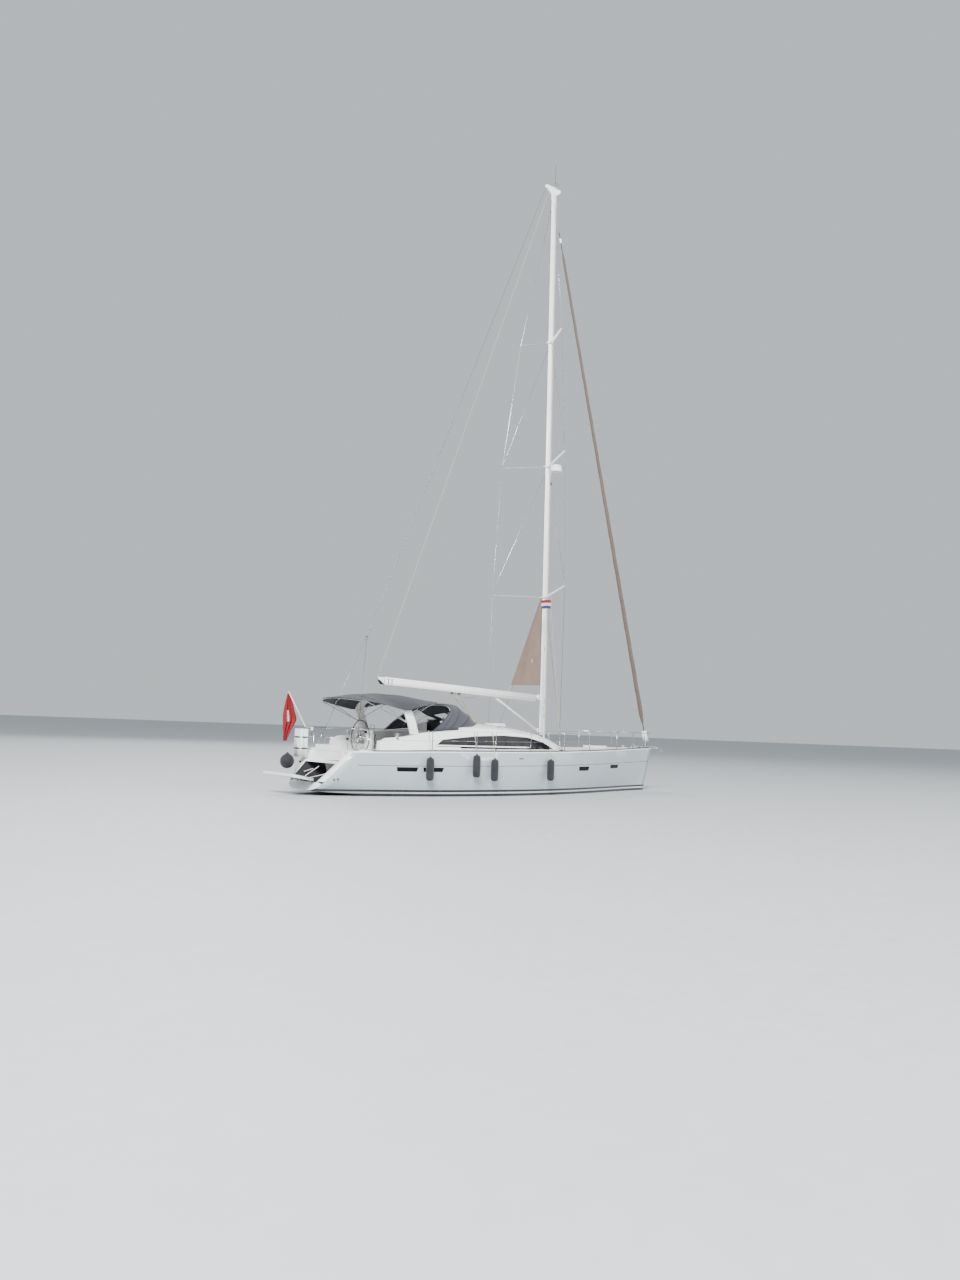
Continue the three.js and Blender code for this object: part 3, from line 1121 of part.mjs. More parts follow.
function hullSideAt(x, z) {
  const i = HULL.findIndex((station) => station.deckX > x);
  const [a, b] = [HULL[i - 1], HULL[i]];
  const t = (x - a.deckX) / (b.deckX - a.deckX);
  const halfOf = (station) => {
    const side = hullSection(station).filter((p) => p.y >= 0);
    const j = side.findIndex((p) => p.z < z);
    const s = (z - side[j].z) / (side[j - 1].z - side[j].z);
    return THREE.MathUtils.lerp(side[j].y, side[j - 1].y, s);
  };
  return THREE.MathUtils.lerp(halfOf(a), halfOf(b), t);
}

function makeFender({ x, z }, hullBlock) {
  const { radius, length } = FENDER;
  const round = radius * 0.55;
  const half = length / 2;
  const profile = [[0, -half - 60], [22, -half - 60], [26, -half - 10], [radius - round, -half + 4],
    [radius, -half + round], [radius, half - round], [radius - round, half - 4],
    [26, half + 10], [22, half + 60],
    [0, half + 60]].map(([r, h]) => new THREE.Vector2(r, h));
  const body = new THREE.LatheGeometry(profile, 14).rotateX(Math.PI / 2);
  const press = 3; // how far the hull would bite into an unpressed fender
  const y = hullSideAt(x, z + half - round) + radius - press;
  return cut(body.translate(x, -y, z), shifted(hullBlock, 0, -SEAT_GAP, 0));
}

/** A ball fender on a cord from the raft's lashing, clear of the quarter. */
function makeBallFender(raft) {
  const { x, y, z, radius, neck, cordTop, cordRadius } = BALL_FENDER;
  const steps = 8;
  const profile = [[0, -radius - neck / 2]];
  for (let i = 1; i < steps; i += 1) {
    const a = -Math.PI / 2 + (Math.PI * i) / steps;
    profile.push([radius * Math.cos(a), radius * Math.sin(a) * 1.1]);
  }
  profile.push([24, radius + neck], [0, radius + neck]);
  const ball = new THREE.LatheGeometry(profile.map(([r, h]) => new THREE.Vector2(r, h)), 14)
    .rotateX(Math.PI / 2).translate(x, y, z);
  const cord = bar(vec(x, y, z + radius + neck - 10), vec(...cordTop), cordRadius, cordRadius, 8);
  return cut(join(ball, cord), shifted(raft, -SEAT_GAP, 0, 0));
}

function makeWinch(side, bed) {
  const x = WINCH_X;
  const y = side * (COAMING.outerHalf + COAMING.innerHalf) / 2;
  const profile = [
    [0, 1700], [70, 1700], [70, 1775], [52, 1790], [48, 1840], [60, 1870], [60, 1890], [0, 1890],
  ].map(([r, h]) => new THREE.Vector2(r, h));
  const drum = new THREE.LatheGeometry(profile, 18).rotateX(Math.PI / 2).translate(x, y, 0);
  return cut(drum, shifted(bed, 0, 0, SEAT_GAP));
}

// The yacht

const roofSolid = toSolid(loft(ROOF.map((station) => roofSection(station, 0))));
const yacht = new THREE.Group();
yacht.name = "sailing_yacht";

const { fullHull, bed, hull, deck } = makeHullPieces();
const mast = makeMast(shifted(roofSolid, 0, 0, SEAT_GAP));
const crane = makeMasthead();
const staff = makeEnsignStaff();
const raft = makeRaft();
const foredeckBase = deckTop(FOREDECK_HATCH.x, 0);
const roof = makeRoof(bed);
const cockpit = makeCockpit(bed);
const coamings = join(coamingWall(), mirrored(coamingWall()));
const paneWall = join(roofSolid, coamings, shifted(coamings, 1.2, 0, 0));

yacht.add(piece("hull", "topsides", join(hull, platformPins())));
yacht.add(piece("deck", "white", join(deck, hatchFrame(FOREDECK_HATCH, foredeckBase))));
yacht.add(piece("deckhouse", "white", roof));
yacht.add(piece("side_window_port", "glass", makePane(1, paneWall, bed)));
yacht.add(piece("side_window_starboard", "glass", makePane(-1, paneWall, bed)));
yacht.add(piece("foredeck_hatch", "glass", hatchLid(FOREDECK_HATCH, foredeckBase)));
yacht.add(piece("saloon_hatch", "glass", hatchLid(SALOON_HATCH, roofHeight(SALOON_HATCH.x))));
yacht.add(piece("companionway_hatch", "white", toSolid(block(
  HATCH_LID.aftX, -HATCH_LID.halfWidth, HATCH_RAIL.topZ + PIN_PLAY, HATCH_LID.foreX, HATCH_LID.halfWidth,
  HATCH_RAIL.topZ + PIN_PLAY + HATCH_LID.thickness))));
yacht.add(piece("washboard", "glass", toSolid(block(
  WASHBOARD.x, -WASHBOARD.halfWidth, BENCH.topZ + SEAT_GAP,
  WASHBOARD.x + WASHBOARD.thickness, WASHBOARD.halfWidth, WASHBOARD.topZ))));
yacht.add(piece("cockpit", "white", cockpit));
yacht.add(piece("steering_pedestal", "white", makePedestal()));
yacht.add(makeWheel());
yacht.add(piece("cockpit_table", "teak", makeTable()));
const helmSeat = makeHelmSeat();
yacht.add(piece("helm_seat_locker", "white", helmSeat.box));
yacht.add(piece("helm_seat_lid", "white", helmSeat.lid));
yacht.add(makePlatform());

yacht.add(piece("keel", "antifouling", makeKeel(fullHull)));
yacht.add(makeRudder());
yacht.add(piece("saildrive", "antifouling", makeSaildrive(fullHull)));
yacht.add(makePropeller());

yacht.add(piece("mast", "alloy", mast));
yacht.add(piece("masthead_crane", "alloy", crane));
for (const spreader of SPREADERS) yacht.add(piece(spreader.name, "alloy", makeSpreaders(spreader)));
yacht.add(piece("shrouds_port", "steel", makeShrouds(1, bed)));
yacht.add(piece("shrouds_starboard", "steel", makeShrouds(-1, bed)));
yacht.add(piece("backstay", "steel", makeBackstay(bed, crane)));
yacht.add(piece("furled_genoa", "sailcloth", makeGenoa(mast)));
yacht.add(piece("furler_drum", "white", makeFurler()));
yacht.add(makeBoomGroup());
yacht.add(piece("radar", "white", makeRadar()));

for (const [side, name] of [[1, "port"], [-1, "starboard"]]) {
  yacht.add(piece(`lifelines_${name}`, "steel", makeStanchions(side, bed)));
  yacht.add(piece(`pushpit_${name}`, "steel", makePushpit(side, bed)));
  yacht.add(piece(`winch_${name}`, "steel", makeWinch(side, cockpit)));
}
yacht.add(piece("pulpit", "steel", makePulpit(bed)));
yacht.add(piece("bow_roller", "steel", makeBowRoller(bed)));
yacht.add(piece("anchor", "steel", makeAnchor()));
yacht.add(piece("liferaft", "white", raft));
yacht.add(piece("ensign_staff", "teak", staff));
yacht.add(piece("ensign", "red", makeEnsign(staff)));

const canopySlots = [-1, 1].map((side) => backstayLeg(side, BACKSTAY.slotRadius));
yacht.add(piece("bimini_canopy", "canvas", cut(clothShell(biminiRows, CANVAS), ...canopySlots)));
yacht.add(piece("bimini_arch", "white", makeArch(cockpit)));
const hood = makeHood(join(roofSolid, roof, cockpit, shifted(coamings, 1.2, 0, 0)));
yacht.add(piece("sprayhood", "canvas", hood));

FENDERS.forEach((fender, i) => {
  yacht.add(piece(`fender_${i + 1}`, "charcoal", makeFender(fender, fullHull)));
});
yacht.add(piece("ball_fender", "charcoal", makeBallFender(raft)));

export default yacht;
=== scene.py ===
"""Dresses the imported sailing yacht: finishes, canvas, rig, deck gear, light and camera."""

import json
import logging
import math
from collections.abc import Callable, Sequence
from dataclasses import dataclass
from enum import Enum
from functools import lru_cache

import bmesh
import bpy
from mathutils import Matrix, Vector
from mathutils.bvhtree import BVHTree

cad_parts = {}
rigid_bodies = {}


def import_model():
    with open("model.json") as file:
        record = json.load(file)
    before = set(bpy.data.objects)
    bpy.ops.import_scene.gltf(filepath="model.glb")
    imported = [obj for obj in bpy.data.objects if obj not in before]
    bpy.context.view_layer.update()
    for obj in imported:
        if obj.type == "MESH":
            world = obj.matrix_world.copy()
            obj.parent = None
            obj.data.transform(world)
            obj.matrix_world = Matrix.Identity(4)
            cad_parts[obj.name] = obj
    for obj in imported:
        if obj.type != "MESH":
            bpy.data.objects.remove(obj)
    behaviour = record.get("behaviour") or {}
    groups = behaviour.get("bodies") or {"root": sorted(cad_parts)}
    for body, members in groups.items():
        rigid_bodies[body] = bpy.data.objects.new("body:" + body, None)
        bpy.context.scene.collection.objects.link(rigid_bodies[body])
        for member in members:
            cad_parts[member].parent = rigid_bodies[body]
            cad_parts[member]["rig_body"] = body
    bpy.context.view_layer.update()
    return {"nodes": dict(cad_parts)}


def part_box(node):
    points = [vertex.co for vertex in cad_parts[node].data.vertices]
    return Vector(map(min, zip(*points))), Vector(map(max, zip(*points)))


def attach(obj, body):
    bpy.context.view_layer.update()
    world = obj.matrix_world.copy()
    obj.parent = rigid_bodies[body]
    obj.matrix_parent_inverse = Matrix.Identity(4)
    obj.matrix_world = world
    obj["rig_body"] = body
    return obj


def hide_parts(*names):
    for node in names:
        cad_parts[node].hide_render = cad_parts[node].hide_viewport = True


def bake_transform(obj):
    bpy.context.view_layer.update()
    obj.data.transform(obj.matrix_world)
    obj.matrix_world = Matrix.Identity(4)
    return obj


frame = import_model()
LOG = logging.getLogger("yacht")

Pair = tuple[float, float]
Point = tuple[float, float, float]
Tree = bpy.types.NodeTree
Socket = bpy.types.NodeSocket
Shape = bmesh.types.BMesh
SIDES = (("port", 1.0), ("starboard", -1.0))


# Finishes


def linear(hex_colour: str) -> tuple[float, float, float, float]:
    """Linear colour of an sRGB hex string such as #aabbcc.

    Args:
        hex_colour: A # and six hex digits.

    Returns:
        Red, green, blue and alpha, each from 0 to 1.
    """
    shares = [int(hex_colour[i : i + 2], 16) / 255 for i in (1, 3, 5)]
    red, green, blue = (
        s / 12.92 if s <= 0.04045 else ((s + 0.055) / 1.055) ** 2.4 for s in shares
    )
    return red, green, blue, 1.0


def add_node(
    tree: Tree, kind: str, inputs: dict | None = None, **settings: object
) -> bpy.types.Node:
    """Adds a shader node.

    Args:
        tree: The material's node tree.
        kind: The node's Blender type.
        inputs: Values or output sockets for its inputs, by name or number.
        settings: Properties of the node.

    Returns:
        The new node.
    """
    made = tree.nodes.new(kind)
    for name, value in settings.items():
        setattr(made, name, value)
    for key, value in (inputs or {}).items():
        if isinstance(value, Socket):
            tree.links.new(value, made.inputs[key])
        else:
            made.inputs[key].default_value = value
    return made


# Numbers of the Mix node's colour sockets: share, first and second colour, and the result
SHARE, FIRST, SECOND, MIXED = 0, 6, 7, 2


class Relief(Enum):
    """How a surface was made, which gives its small bumps."""

    MOULDED = "smooth from a mould, with a faint ripple"
    NONSKID = "a field of small raised diamonds"
    WOVEN = "threads that cross at right angles"
    PLANKED = "long grain between dark caulked seams"
    BRUSHED = "fine scratches along the piece"
    LAID = "strands that wind round a rope"
    KNITTED = "upright ribs of a fleece cover"
    GRAINED = "small pebbles of leather"
    ROLLED = "a rough coat put on with a roller"


@dataclass(frozen=True)
class Finish:
    """One real material: what it is, how it was made and how it takes light.

    grain is the size in metres of its relief, drawn coarser than life where it would be too fine
    to show. tint is the colour that it wanders towards, and spread how far.
    """

    name: str
    colour: str
    tint: str
    relief: Relief = Relief.MOULDED
    grain: float = 0.05
    depth: float = 0.1
    roughness: float = 0.4
    metallic: float = 0.0
    coat: float = 0.0
    sheen: float = 0.0
    spread: float = 0.5
    see_through: float = 0.0
    shine: float = 0.5
    # The colour that the relief's hollows are darkened towards: the caulking between planks, and painted
    # shade in the hollows of every other relief.
    caulk_and_hollow_shade: str = "#15151a"

    def coordinates(self, tree: Tree) -> Socket:
        """The place that patterns follow: the piece's own UV for cloth, or else the object.

        Args:
            tree: The material's node tree.

        Returns:
            The place's socket.
        """
        source = "UV" if self.relief is Relief.WOVEN else "Object"
        return add_node(tree, "ShaderNodeTexCoord").outputs[source]

    def height(self, tree: Tree, where: Socket) -> Socket:
        """The relief's height, from 0 to 1.

        Args:
            tree: The material's node tree.
            where: The place that the pattern follows.

        Returns:
            The height's socket.
        """
        if self.relief is Relief.WOVEN:
            waves = [
                add_node(
                    tree, "ShaderNodeTexWave",
                    {"Vector": where, "Scale": 0.314 / self.grain, "Distortion": 0.6},
                    bands_direction=way,
                ).outputs["Fac"]
                for way in ("X", "Y")
            ]
            return add_node(
                tree, "ShaderNodeMath", {0: waves[0], 1: waves[1]}, operation="MULTIPLY").outputs[0]
        if self.relief is Relief.NONSKID:
            turned = add_node(
                tree, "ShaderNodeMapping", {"Vector": where, "Rotation": (0, 0, math.radians(45))})
            cells = add_node(
                tree, "ShaderNodeTexVoronoi",
                {"Vector": turned.outputs[0], "Scale": 1 / self.grain, "Randomness": 0.0},
                distance="CHEBYCHEV",
            )
            return cells.outputs["Distance"]
        if self.relief is Relief.PLANKED:
            split = add_node(tree, "ShaderNodeSeparateXYZ", {0: where})
            plank = add_node(
                tree, "ShaderNodeMath", {0: split.outputs["Y"], 1: self.grain}, operation="DIVIDE")
            share = add_node(tree, "ShaderNodeMath", {0: plank.outputs[0]}, operation="FRACT")
            wood = add_node(tree, "ShaderNodeMath", {0: share.outputs[0], 1: 0.14}, operation="GREATER_THAN")
            return wood.outputs[0]
        if self.relief is Relief.GRAINED:
            pebbles = add_node(tree, "ShaderNodeTexVoronoi", {"Vector": where, "Scale": 1 / self.grain})
            return pebbles.outputs["Distance"]
        if self.relief is Relief.LAID:
            strands = add_node(
                tree, "ShaderNodeTexWave", {"Vector": where, "Scale": 0.314 / self.grain, "Distortion": 0.4},
                bands_direction="DIAGONAL",
            )
            return strands.outputs["Fac"]
        if self.relief is Relief.KNITTED:
            split = add_node(tree, "ShaderNodeSeparateXYZ", {0: where})
            ribs = add_node(tree, "ShaderNodeCombineXYZ", {"X": split.outputs["X"], "Y": split.outputs["Y"]})
            return add_node(
                tree, "ShaderNodeTexNoise",
                {"Vector": ribs.outputs[0], "Scale": 1 / self.grain, "Detail": 3.0}
            ).outputs["Fac"]
        stretch = (1, 1, 1)
        if self.relief is Relief.BRUSHED:
            stretch = (1, 1, 0.06)
        mapped = add_node(tree, "ShaderNodeMapping", {"Vector": where, "Scale": stretch})
        detail = 6.0 if self.relief is Relief.ROLLED else 2.0
        return add_node(
            tree, "ShaderNodeTexNoise",
            {"Vector": mapped.outputs[0], "Scale": 1 / self.grain, "Detail": detail}
        ).outputs["Fac"]

    def paint(
        self, tree: Tree, where: Socket, height: Socket
    ) -> Socket:
        """The colour, wandering in broad patches and darkened in the relief's hollows: painted shade, except
        between planks, where the darkening is the caulking.

        Args:
            tree: The material's node tree.
            where: The place that the pattern follows.
            height: The relief's height.

        Returns:
            The colour's socket.
        """
        broad = add_node(
            tree, "ShaderNodeTexNoise", {"Vector": where, "Scale": 1.3, "Detail": 5.0, "Roughness": 0.6})
        wander = add_node(
            tree, "ShaderNodeMapRange", {0: broad.outputs["Fac"], 1: 0.3, 2: 0.75, 3: 0.0, 4: self.spread}
        )
        both = {SHARE: wander.outputs[0], FIRST: linear(self.colour), SECOND: linear(self.tint)}
        base = add_node(tree, "ShaderNodeMix", both, data_type="RGBA").outputs[MIXED]
        if self.relief in (Relief.MOULDED, Relief.BRUSHED, Relief.ROLLED):
            return base
        # Painted shade: the relief's hollows are darkened towards a near-black; between planks the same
        # darkening is the real caulking.
        hollow_shade = add_node(tree, "ShaderNodeMapRange", {0: height, 1: 0.0, 2: 0.6, 3: 0.55, 4: 0.0})
        if self.relief is Relief.PLANKED:
            hollow_shade.inputs[3].default_value = 0.95
        both = {SHARE: hollow_shade.outputs[0], FIRST: base, SECOND: linear(self.caulk_and_hollow_shade)}
        return add_node(tree, "ShaderNodeMix", both, data_type="RGBA").outputs[MIXED]

    def shade(self, tree: Tree) -> None:
        """Fills the tree with this finish.

        Args:
            tree: The material's node tree.
        """
        where = self.coordinates(tree)
        height = self.height(tree, where)
        colour = self.paint(tree, where, height)
        wear = add_node(tree, "ShaderNodeTexNoise", {"Vector": where, "Scale": 4.0, "Detail": 4.0})
        low, high = self.roughness * 0.85, min(self.roughness * 1.2, 1.0)
        rough = add_node(
            tree, "ShaderNodeMapRange", {0: wear.outputs["Fac"], 1: 0.3, 2: 0.7, 3: low, 4: high})
        bump = add_node(
            tree, "ShaderNodeBump", {"Height": height, "Strength": self.depth, "Distance": self.grain / 3})
        shader = add_node(
            tree, "ShaderNodeBsdfPrincipled",
            {"Base Color": colour, "Roughness": rough.outputs[0], "Normal": bump.outputs[0],
             "Metallic": self.metallic, "Coat Weight": self.coat, "Sheen Weight": self.sheen,
             "Specular IOR Level": self.shine,
             "Transmission Weight": self.see_through, "Alpha": 1.0 - 0.72 * self.see_through},
        )
        add_node(tree, "ShaderNodeOutputMaterial", {"Surface": shader.outputs[0]})

    @lru_cache(maxsize=None)
    def material(self) -> bpy.types.Material:
        """This finish as a Blender material, made once."""
        made = bpy.data.materials.new(self.name)
        made.use_nodes = True
        made.node_tree.nodes.clear()
        self.shade(made.node_tree)
        return made


@dataclass(frozen=True)
class HullPaint(Finish):
    """Gelcoat topsides over a boot stripe and antifouling, in level bands, with a scored line whose dark grey
    is painted shade.
    """

    antifouling: str = "#191c27"
    boot: str = "#15161b"
    stripe: str = "#d9dcdc"
    bands: tuple[float, float, float] = (0.085, 0.135, 0.205)
    score: tuple[float, float, float] = (0.9947, 0.01535, 0.000743)
    score_half: float = 0.011
    score_aft: float = -8.33
    groove_shade: str = "#6d7276"

    def paint(
        self, tree: Tree, where: Socket, height: Socket
    ) -> Socket:
        """The topsides' colour, with the bands and the scored line's painted shade laid over it.

        Args:
            tree: The material's node tree.
            where: The place that the pattern follows.
            height: The relief's height.

        Returns:
            The colour's socket.
        """
        colour = super().paint(tree, where, height)
        split = add_node(tree, "ShaderNodeSeparateXYZ", {0: where})
        along, up = split.outputs["X"], split.outputs["Z"]
        start, slope, bend = self.score
        tilt = add_node(tree, "ShaderNodeMath", {0: along, 1: bend, 2: slope}, operation="MULTIPLY_ADD")
        line = add_node(
            tree, "ShaderNodeMath", {0: tilt.outputs[0], 1: along, 2: start}, operation="MULTIPLY_ADD")
        near = add_node(
            tree, "ShaderNodeMath", {0: up, 1: line.outputs[0], 2: self.score_half}, operation="COMPARE")
        before = add_node(tree, "ShaderNodeMath", {0: along, 1: self.score_aft}, operation="GREATER_THAN")
        scored = add_node(
            tree, "ShaderNodeMath", {0: near.outputs[0], 1: before.outputs[0]}, operation="MULTIPLY")
        # Painted shade: the scored line is drawn as a band of darker grey colour rather than cut into the
        # skin.
        both = {SHARE: scored.outputs[0], FIRST: colour, SECOND: linear(self.groove_shade)}
        colour = add_node(tree, "ShaderNodeMix", both, data_type="RGBA").outputs[MIXED]
        low, middle, high = self.bands
        for level, shade in ((high, self.boot), (middle, self.stripe), (low, self.antifouling)):
            below = add_node(tree, "ShaderNodeMath", {0: up, 1: level}, operation="LESS_THAN")
            both = {SHARE: below.outputs[0], FIRST: colour, SECOND: linear(shade)}
            colour = add_node(tree, "ShaderNodeMix", both, data_type="RGBA").outputs[MIXED]
        return colour


# Polyester gelcoat from a polished mould: glossy, a faint ripple and slight chalking.
TOPSIDES = HullPaint("gelcoat_topsides", "#aab3b8", "#9fa8ae", grain=0.9, depth=0.02, roughness=0.2, coat=0.3)
GELCOAT = Finish("gelcoat_white", "#eceeee", "#d9dbdb", grain=0.6, depth=0.03, roughness=0.3, coat=0.2)
NONSKID = Finish(
    "gelcoat_nonskid", "#dfe0de", "#cfcfcb", Relief.NONSKID, grain=0.03, depth=0.25, roughness=0.65)
# Cast acrylic and toughened glass with a dark tint: near black, with a sharp gloss.
GLAZING = Finish("tinted_glazing", "#0f1014", "#17181d", grain=1.2, depth=0.01, roughness=0.14, shine=0.1)
# Clear soft vinyl sewn in the hood: a little milky and rippled.
VINYL = Finish(
    "clear_vinyl", "#b3aca8", "#a29a96", grain=0.3, depth=0.15, roughness=0.12, see_through=0.85)
# Self-polishing antifouling put on with a roller: matt, worn and a little mottled.
ANTIFOULING = Finish(
    "antifouling", "#1b1f2b", "#2b303a", Relief.ROLLED, grain=0.04, depth=0.3, roughness=0.85)
# Cast manganese bronze, dulled by the sea, and zinc that has begun to pit.
BRONZE = Finish("propeller_bronze", "#a27b3e", "#7d6a3c", Relief.BRUSHED, 0.02, 0.15, 0.35, metallic=1.0)
ZINC = Finish("zinc_anode", "#9a9c9b", "#7e807e", Relief.ROLLED, 0.02, 0.3, 0.6, metallic=1.0)
# Extruded alloy, painted white: satin, with faint lines along the length.
ALLOY = Finish("painted_alloy", "#efefef", "#dddedf", Relief.BRUSHED, 0.03, 0.05, 0.32, coat=0.15)
# The same alloy anodised dark, and polished stainless tube.
DARK_ALLOY = Finish("anodised_alloy", "#4a4c50", "#3c3e42", Relief.BRUSHED, 0.02, 0.1, 0.4, metallic=0.8)
STEEL = Finish("stainless_steel", "#c3c6c9", "#a4a8ac", Relief.BRUSHED, 0.015, 0.08, 0.22, metallic=1.0)
# Acrylic canvas, solution-dyed grey: plain weave, faded on top, dull with a soft sheen.
CANVAS = Finish(
    "acrylic_canvas", "#303239", "#3f4148", Relief.WOVEN, 0.012, 0.2, 0.9, sheen=0.08, spread=0.7)
CANVAS_TAPE = Finish("canvas_seam_tape", "#202227", "#2b2d33", Relief.WOVEN, 0.006, 0.2, 0.9, sheen=0.08)
HOOD_CANVAS = Finish(
    "acrylic_canvas_light", "#46474f", "#55565e", Relief.WOVEN, 0.012, 0.2, 0.9, sheen=0.08, spread=0.7)
# The strip of acrylic cloth that keeps the sun off a furled sail: taupe, weathered.
SUN_STRIP = Finish(
    "sun_strip_cloth", "#77675e", "#67584f", Relief.WOVEN, 0.014, 0.25, 0.88, sheen=0.05, spread=0.8)
# A lighter copy of the sun strip cloth for the mainsail's corner: the extra lightness is painted light.
SUN_STRIP_LIT = Finish(
    "sun_strip_cloth_painted_light", "#927d70", "#826e62", Relief.WOVEN, 0.014, 0.25, 0.88, sheen=0.05, spread=0.8)
# Sailcloth of polyester film and threads, and the flags' woven polyester.
SAILCLOTH = Finish("laminate_sailcloth", "#b5a597", "#a59587", Relief.WOVEN, 0.02, 0.15, 0.6, sheen=0.1)
FLAG = Finish("flag_cloth", "#980e1c", "#800b17", Relief.WOVEN, 0.01, 0.2, 0.85)
FLAG_WHITE = Finish("flag_cloth_white", "#e8e4e2", "#d5d0ce", Relief.WOVEN, 0.01, 0.2, 0.8)
FLAG_BLUE = Finish("flag_cloth_blue", "#27407c", "#1f3468", Relief.WOVEN, 0.01, 0.2, 0.8)
# Knitted acrylic fleece pulled over inflated vinyl: fuzzy, with upright ribs.
FLEECE = Finish("fender_cover", "#1c1d22", "#292a30", Relief.KNITTED, 0.02, 0.5, 0.95, sheen=0.15)
# Teak planks with black caulking, oiled in the cockpit; on the platform a pale pinkish tone that is painted
# shade with a warm painted reflection.
TEAK = Finish("teak", "#ad8a64", "#8f755a", Relief.PLANKED, grain=0.055, depth=0.3, roughness=0.75)
PAINTED_SHADE_TEAK = Finish("teak_painted_warm_shade", "#c9aea3", "#b79d93", Relief.PLANKED, grain=0.3, depth=0.2, roughness=0.8)
# Stitched leather, and black rubber for seals, blocks and straps.
LEATHER = Finish("wheel_leather", "#33302f", "#4a4542", Relief.GRAINED, 0.008, 0.3, 0.6)
RUBBER = Finish("black_rubber", "#1b1c1f", "#26272a", Relief.ROLLED, 0.02, 0.15, 0.7)
# Plaited polyester: white with a coloured fleck, twisted strands that show as slanting bands.
ROPE = Finish("polyester_rope", "#c9bda6", "#ab9d84", Relief.LAID, 0.012, 0.5, 0.85)
BLUE_ROPE = Finish("polyester_rope_blue", "#36507e", "#c6c8cc", Relief.LAID, 0.012, 0.5, 0.85)
RED_ROPE = Finish("polyester_rope_red", "#a13434", "#c8c0bc", Relief.LAID, 0.012, 0.5, 0.85)
# A painted studio floor.
STUDIO_FLOOR = Finish("studio_floor", "#b3b7ba", "#abb0b3", grain=3.0, depth=0.01, roughness=0.6, spread=0.3)


# Shapes


def box(low: Point, high: Point, round_edge: float = 0.0, segments: int = 2) -> Shape:
    """A block between two corners, its edges rounded if wanted.

    Args:
        low: One corner.
        high: The opposite corner.
        round_edge: Radius of its edges in metres.
        segments: Steps across each edge.

    Returns:
        The block's mesh.
    """
    made = bmesh.new()
    bmesh.ops.create_cube(made, size=1.0)
    size = [abs(b - a) for a, b in zip(low, high)]
    middle = [(a + b) / 2 for a, b in zip(low, high)]
    bmesh.ops.scale(made, vec=size, verts=made.verts)
    bmesh.ops.translate(made, vec=middle, verts=made.verts)
    if round_edge > 0:
        bmesh.ops.bevel(
            made, geom=made.edges[:], offset=min(round_edge, min(size) * 0.45), segments=segments,
            profile=0.5, affect="EDGES", material=-1, clamp_overlap=True)
    return made


def rod(
    path: Sequence[Point | Vector], radius: float | Sequence[float], sides: int = 10, closed: bool = False,
    flat: float = 1.0,
) -> Shape:
    """A round or flattened bar swept along a path.

    Args:
        path: Points that its centre follows.
        radius: One radius, or one for each point.
        sides: Faces round it.
        closed: Whether the path returns to its first point.
        flat: Its height as a share of its width.

    Returns:
        The swept mesh, capped unless closed.
    """
    points = [Vector(p) for p in path]
    points += points[:1] if closed else []
    last = len(points) - 1
    radii = [radius] * (last + 1) if isinstance(radius, (int, float)) else list(radius)
    places: list[Matrix] = []
    side = Vector()
    for i, point in enumerate(points):
        before = points[i - 1] if i > 0 else points[-2] if closed else point
        after = points[i + 1] if i < last else points[1] if closed else point
        along = (after - before).normalized()
        if i == 0:
            side = Vector((0, 1, 0)) if abs(along.z) > 0.9 else along.cross(Vector((0, 0, 1)))
        side = (side - along * side.dot(along)).normalized()
        turn = Matrix((side, along.cross(side), along)).transposed().to_4x4()
        scale = Matrix.Diagonal((radii[i], radii[i] * flat, 1.0, 1.0))
        places.append(Matrix.Translation(point) @ turn @ scale)
    made = bmesh.new()
    ring = bmesh.ops.create_circle(
        made, cap_ends=False, radius=1.0, segments=sides, matrix=places[0])["verts"]
    edges = made.edges[:]
    if not closed:
        bmesh.ops.contextual_create(made, geom=ring)
    for before, after in zip(places, places[1:]):
        grown = bmesh.ops.extrude_edge_only(made, edges=edges)["geom"]
        ring = [g for g in grown if isinstance(g, bmesh.types.BMVert)]
        edges = [g for g in grown if isinstance(g, bmesh.types.BMEdge) and set(g.verts) <= set(ring)]
        bmesh.ops.transform(made, matrix=after @ before.inverted(), verts=ring)
    if closed:
        bmesh.ops.remove_doubles(made, verts=made.verts, dist=1e-4)
    else:
        bmesh.ops.contextual_create(made, geom=ring)
    bmesh.ops.recalc_face_normals(made, faces=made.faces)
    return made


def turned(profile: Sequence[Pair], steps: int = 24) -> Shape:
    """A shape turned round Z from a profile of radius and height.

    Args:
        profile: Radius and height of each point.
        steps: Faces round the axis.

    Returns:
        The turned mesh.
    """
    made = bmesh.new()
    verts = [made.verts.new((r, 0, z)) for r, z in profile]
    edges = [made.edges.new(pair) for pair in zip(verts, verts[1:])]
    bmesh.ops.spin(
        made, geom=verts + edges, cent=(0, 0, 0), axis=(0, 0, 1), angle=2 * math.pi, steps=steps,
        use_merge=True)
    bmesh.ops.remove_doubles(made, verts=made.verts, dist=1e-5)
    bmesh.ops.recalc_face_normals(made, faces=made.faces)
    return made


def ball(centre: Point, radius: float, squash: Point = (1, 1, 1)) -> Shape:
    """A ball, or an egg if squashed along its axes.

    Args:
        centre: Its middle.
        radius: Its radius in metres.
        squash: Its stretch along X, Y and Z.

    Returns:
        The ball's mesh.
    """
    made = bmesh.new()
    bmesh.ops.create_uvsphere(made, u_segments=16, v_segments=10, radius=radius)
    bmesh.ops.scale(made, vec=squash, verts=made.verts)
    bmesh.ops.translate(made, vec=centre, verts=made.verts)
    return made


